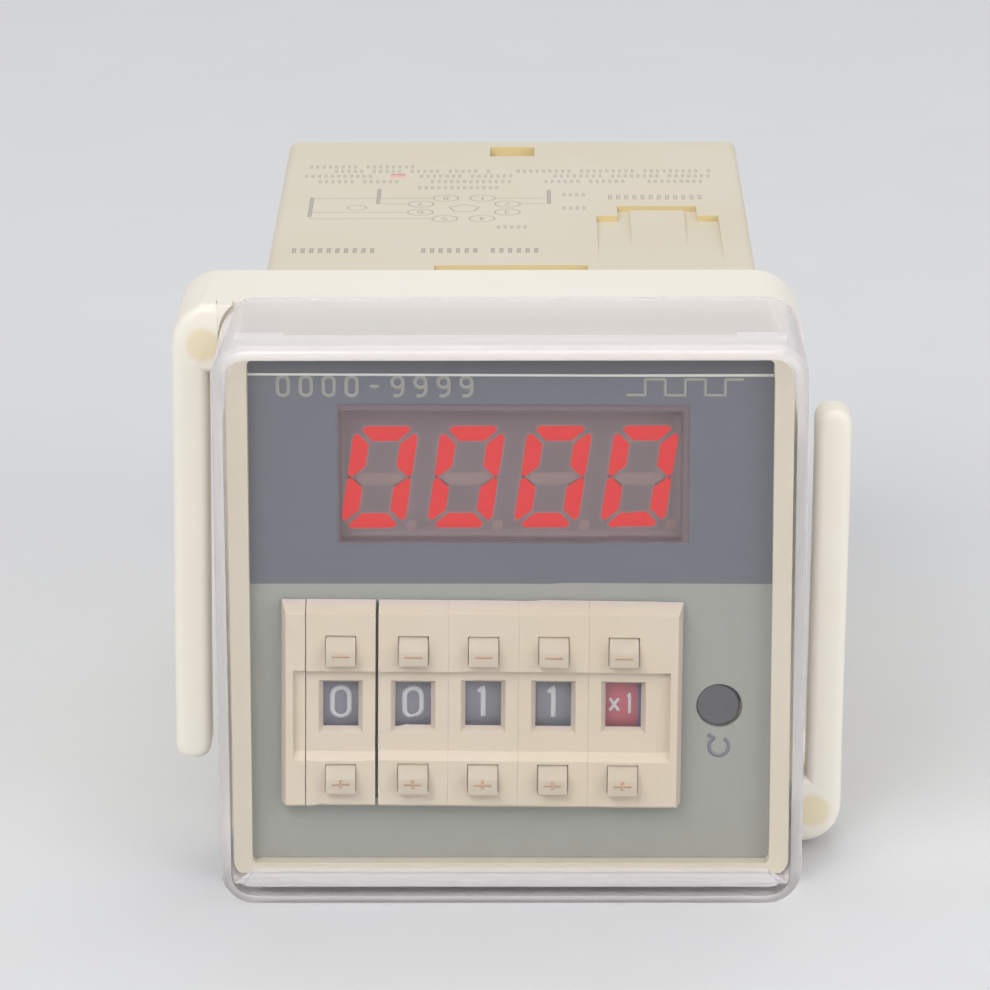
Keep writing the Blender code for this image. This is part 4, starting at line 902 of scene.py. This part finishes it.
# %% [markdown]
# ## A plain stroke font
#
# Numbers on wheels and marks on plates are drawn as strokes of even width, as an engraver or a pad
# printer would draw them. Each sign is a few short paths about its middle, made of arcs and straight
# lines.

# %% Stroke shapes, as lists of (X, Z) in millimetres round a digit's middle
DIGIT_HEIGHT = 2.68


def arc(x, z, radius, start, end, steps=14):
    """Points of an arc, with angles in degrees counted from the right, upward."""
    angles = [radians(start + (end - start) * k / steps) for k in range(steps + 1)]
    return [(x + radius * cos(a), z + radius * sin(a)) for a in angles]


def strokes_of(sign):
    """Strokes of a sign; a digit is 1.48 mm wide and 2.68 mm high between centre lines."""
    half, top = 0.74, DIGIT_HEIGHT / 2
    shapes = {
        "0": [arc(0, 0.6, half, 0, 180) + arc(0, -0.6, half, 180, 360) + [(half, 0.6)]],
        "1": [[(-0.42, 0.94), (0.0, top), (0.0, -top)]],
        "2": [arc(0, 0.6, half, 165, -38) + [(-half, -top), (half, -top)]],
        "3": [arc(0, 0.66, 0.68, 150, -90) + arc(0, -0.62, 0.72, 90, -150)],
        "4": [[(0.3, -top), (0.3, top), (-half, -0.5), (half, -0.5)]],
        "5": [[(0.62, top), (-0.56, top), (-0.64, 0.16)] + arc(0.0, -0.56, 0.78, 128, -150)],
        "6": [arc(0.1, 0.5, 0.84, 60, 180) + arc(0, -0.6, half, 180, 540, 24)],
        "7": [[(-half, top), (half, top), (-0.2, -top)]],
        "8": [arc(0, 0.7, 0.64, 0, 360, 22), arc(0, -0.6, half, 0, 360, 22)],
        "x": [[(-0.62, 0.62), (0.62, -0.62)], [(-0.62, -0.62), (0.62, 0.62)]],
        "-": [[(-0.6, 0.0), (0.6, 0.0)]],
    }
    if sign == "9":
        return [[(-x, -z) for x, z in stroke] for stroke in shapes["6"][::-1]]
    return shapes[sign]


def word(text, height, pitch, narrow=1.0):
    """Strokes of several signs in a row, centred, at a height in millimetres."""
    scale = height / DIGIT_HEIGHT
    start = -pitch * (len(text) - 1) / 2
    return [[(start + k * pitch + x * scale * narrow, z * scale) for x, z in stroke]
            for k, sign in enumerate(text) for stroke in strokes_of(sign)]


print("signs drawn:", sum(len(strokes_of(sign)) for sign in "0123456789x-"), "strokes")

# %% [markdown]
# A path becomes a thin tube by a curve's own bevel, then a mesh, and is pressed nearly flat. That gives
# print a real, slightly raised edge, without any picture. Only then is it moved to its place.

# %% From strokes to raised print
def dense(points, step=0.25):
    """The same path with a point at least every step, so that it can bend round a drum."""
    path = [points[0]]
    for (ax, az), (bx, bz) in zip(points, points[1:]):
        count = max(1, int(((bx - ax) ** 2 + (bz - az) ** 2) ** 0.5 / step + 0.99))
        path += [(ax + (bx - ax) * k / count, az + (bz - az) * k / count) for k in range(1, count + 1)]
    return path


def pressed(strokes, width, raised=0.02):
    """A bmesh of flat strokes in the X and Z plane, in millimetres, raised towards -Y."""
    curve = bpy.data.curves.new("strokes", "CURVE")
    curve.dimensions = "3D"
    curve.bevel_depth = width / 2
    curve.bevel_resolution = 1
    curve.use_fill_caps = True
    for stroke in strokes:
        path = dense(stroke)
        spline = curve.splines.new("POLY")
        spline.points.add(len(path) - 1)
        for point, (x, z) in zip(spline.points, path):
            point.co = (x, 0.0, z, 1.0)
    holder = bpy.data.objects.new("strokes", curve)
    mesh = bpy.data.meshes.new_from_object(holder)
    form = bmesh.new()
    form.from_mesh(mesh)
    bpy.data.objects.remove(holder)
    bpy.data.curves.remove(curve)
    bpy.data.meshes.remove(mesh)
    for vert in form.verts:
        vert.co.y *= 2 * raised / width
    bmesh.ops.recalc_face_normals(form, faces=form.faces)
    for face in form.faces:
        face.smooth = True
    return form


def laid(form, place):
    """Move a bmesh from millimetres about a point to its place in the frame."""
    bmesh.ops.scale(form, verts=form.verts, vec=(MM, MM, MM))
    bmesh.ops.transform(form, matrix=place, verts=form.verts)
    return form


print("a straight line 1 mm long is cut at", len(dense([(0.0, 0.0), (1.0, 0.0)])), "points")

# %% [markdown]
# ## Numbers on the wheels
#
# Ten numbers run round each drum, one every 36 degrees. A stroke's height above the digit's middle
# becomes an angle on the drum, so that the marks hug its curve. The fifth wheel carries a factor in place
# of a digit.

# %% Numbers round the wheels
WHEEL_RADIUS = (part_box("number_wheel_1")[1].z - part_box("number_wheel_1")[0].z) / 2 / MM
SHOWN_FIRST = {1: 0, 2: 0, 3: 1, 4: 1}
PLACES = 10
BIG_STROKE, SMALL_STROKE = 0.5, 0.3
SUNK_IN_DRUM = 0.004
FACTOR_HEIGHT, FACTOR_PITCH, FACTOR_NARROW = 1.8, 1.02, 0.62


def wheel_text(k, place):
    """Strokes and their width for one of the ten places of a wheel."""
    if k in SHOWN_FIRST:
        return strokes_of(str((SHOWN_FIRST[k] + place) % PLACES)), BIG_STROKE
    factor, cross_left, shift = ("1", 0.78, 0.55) if place % 2 == 0 else ("10", 1.12, 0.42)
    cross = [[(x * FACTOR_NARROW - cross_left, z * 0.9 - 0.1) for x, z in stroke]
             for stroke in strokes_of("x")]
    rest = word(factor, FACTOR_HEIGHT, FACTOR_PITCH, FACTOR_NARROW)
    return cross + [[(x + shift, z) for x, z in stroke] for stroke in rest], SMALL_STROKE


for k in UNITS:
    hub = Vector(joints[f"wheel_turn_{k}"]["pos_m"])
    upright = Matrix.Translation(hub) @ BLOCK_TURN
    marks = bmesh.new()
    for place in range(PLACES):
        strokes, width = wheel_text(k, place)
        flat = pressed(strokes, width)
        for vert in flat.verts:
            turn = vert.co.z / WHEEL_RADIUS + place * radians(360 / PLACES)
            reach = WHEEL_RADIUS - SUNK_IN_DRUM - vert.co.y
            vert.co = Vector((vert.co.x, -reach * cos(turn), reach * sin(turn)))
        mesh = bpy.data.meshes.new("marks")
        flat.to_mesh(mesh)
        flat.free()
        marks.from_mesh(mesh)
        bpy.data.meshes.remove(mesh)
    show(f"wheel_numbers_{k}", laid(marks, upright), DIGIT, f"wheel_{k}")
print("drum radius", round(WHEEL_RADIUS, 2), "mm")

# %% [markdown]
# ## Marks
#
# The keys carry a printed minus and plus, a little below their middle. Each sign rides on its key.

# %% Signs on the keys
BAR = [(-0.75, 0.0), (0.75, 0.0)]
KEY_SIGNS = {"minus_button": [BAR], "plus_button": [BAR, [(0.0, -0.40), (0.0, 0.40)]]}
SIGN_LOWER, SIGN_STROKE, SIGN_RAISED = 0.3 * MM, 0.28, 0.05
for k in UNITS:
    for node_name, strokes in KEY_SIGNS.items():
        low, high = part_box(f"{node_name}_{k}")
        face = Vector(((low.x + high.x) / 2, low.y, (low.z + high.z) / 2 - SIGN_LOWER))
        sign = laid(pressed(strokes, SIGN_STROKE, SIGN_RAISED), Matrix.Translation(face) @ BLOCK_TURN)
        show(f"{node_name}_sign_{k}", sign, SIGN, BODY_OF[f"{node_name}_{k}"])
print("key signs:", len(UNITS) * len(KEY_SIGNS))

# %% [markdown]
# The reset button is bare, and a turning arrow below it says what it does. A counting range and a pulse
# train say what the counter is for, and a fine pale line runs across the top of the plate.

# %% Marks on the face plate
def on_face(x, z):
    """The place of a mark on the plate's front."""
    return Matrix.Translation(at(x, 0.0, z))


reset_arrow = [arc(0, 0, 0.85, 60, -240, 24), [(-0.98, 1.10), (-0.40, 0.74), (-0.92, 0.30)]]
show("reset_arrow", laid(pressed(reset_arrow, 0.4), on_face(17.95, -12.4)), PRINT_DARK)
show("range_mark", laid(pressed(word("0000-9999", 1.7, 1.95), 0.36), on_face(-11.6, 20.1)), PRINT_LIGHT)
pulse = [[(-5.0, -0.7), (-3.4, -0.7), (-3.4, 0.7), (-1.7, 0.7), (-1.7, -0.7), (0.0, -0.7), (0.0, 0.7),
          (1.7, 0.7), (1.7, -0.7), (3.4, -0.7), (3.4, 0.7), (5.0, 0.7)]]
show("pulse_mark", laid(pressed(pulse, 0.3), on_face(14.8, 20.1)), PRINT_LIGHT)
across = [[(-22.5, 0.0), (22.5, 0.0)]]
show("face_line", laid(pressed(across, 0.24, 0.03), on_face(0.0, FACE_LINE_Z)), PRINT_LINE)
print("face marks lie", [20.1, FACE_LINE_Z], "mm above the middle")

# %% [markdown]
# ## Print on the case
#
# The top of the case carries a pale wiring drawing: eight round terminals about a five-sided key, with
# lines to a bar at each side. It is drawn in (X, Y), seen from above, and then laid flat.

# %% Wiring drawing on the case
TERMINALS = ((-6.3, 56.7), (-2.8, 56.7), (-8.65, 54.4), (-0.4, 54.4), (-8.65, 51.25), (-0.4, 51.25),
             (-6.3, 48.8), (-2.8, 48.8))
TERMINAL_RADIUS = 1.2
KEY_MIDDLE, KEY_RADIUS, KEY_SIDES = (-4.5, 52.75), 1.5, 5
LEFT_BAR, RIGHT_BAR = -19.1, 3.55


def ring(x, y, radius):
    """A closed circle as a path."""
    return arc(x, y, radius, 0, 360, 20)


drawing = [ring(x, y, TERMINAL_RADIUS) for x, y in TERMINALS]
drawing.append(arc(*KEY_MIDDLE, KEY_RADIUS, 90, 450, KEY_SIDES))
for y, end in ((56.7, -7.5), (51.25, -9.85), (48.8, -7.5)):
    drawing.append([(LEFT_BAR, y), (end, y)])
drawing.append([(-12.75, 54.5), (-9.85, 54.5)])
drawing.append([(0.8, 54.5), (RIGHT_BAR, 54.5)])
drawing.append([(-1.6, 56.7), (RIGHT_BAR, 56.7)])
drawing.append(ring(-14.7, 53.0, 0.9))
bars = [[(LEFT_BAR, 49.4), (LEFT_BAR, 57.0)], [(-12.75, 54.4), (-12.75, 60.4)],
        [(RIGHT_BAR, 54.4), (RIGHT_BAR, 59.9)]]
numbers = [[(tx - x, ty - z) for x, z in stroke] for (tx, ty), sign in zip(TERMINALS, "81726354")
           for stroke in word(sign, 1.25, 1.0, 0.62)]
print("drawing:", len(drawing), "lines")

# %% [markdown]
# Round the drawing stand rows of upright ticks, in even groups. Each row is given by its two ends, its
# place along the case and the number of ticks in a group.

# %% Rows of ticks, and all the print laid on the case
def small_print(start, end, y, tall, pitch, word_length):
    """Upright ticks in even groups."""
    count = int((end - start) / pitch)
    return [[(start + k * pitch, y - tall / 2), (start + k * pitch, y + tall / 2)]
            for k in range(count) if (k + 1) % (word_length + 1)]


ROWS = ((-19.7, -8.0, 69.3, 8), (-17.2, -1.6, 67.5, 5), (0.6, 20.0, 67.5, 9), (-20.0, -12.9, 65.5, 11),
        (-8.8, 1.0, 65.5, 7), (4.2, 20.0, 65.5, 8), (-18.6, -9.9, 63.3, 6), (-7.7, 0.7, 63.3, 13),
        (3.3, 11.8, 63.3, 6), (13.3, 20.0, 63.3, 9), (-8.9, -0.4, 60.9, 14), (5.0, 7.8, 58.0, 4),
        (5.0, 7.8, 52.8, 4), (-1.2, 2.6, 45.6, 5))
ROW_TALL, ROW_PITCH, PRINT_RAISED = 1.3, 0.62, 0.015
rows = []
for start, end, y, word_length in ROWS:
    rows += small_print(start, end, y, ROW_TALL, ROW_PITCH, word_length)
heads = small_print(9.4, 19.4, 57.0, 1.8, 0.78, 12)
titles = small_print(-20.0, -12.0, 37.0, 1.7, 0.8, 10) + small_print(-8.1, 3.7, 37.0, 1.7, 0.8, 7)
flat_on_top = Matrix.Translation(at(0.0, 0.0, case_top)) @ Matrix.Rotation(radians(-90), 4, "X")
for name, strokes, width, material in (
        ("case_drawing", drawing, 0.18, PRINT_CASE), ("case_bars", bars, 0.36, PRINT_CASE),
        ("case_numbers", numbers, 0.15, PRINT_CASE), ("case_rows", rows, 0.27, PRINT_FAINT),
        ("case_heads", heads, 0.34, PRINT_FAINT), ("case_titles", titles, 0.36, PRINT_CASE),
        ("case_dot", [[(-11.8, 65.7), (-10.4, 65.7)]], 1.7, PRINT_DOT)):
    show(name, laid(pressed(strokes, width, PRINT_RAISED), flat_on_top), material)
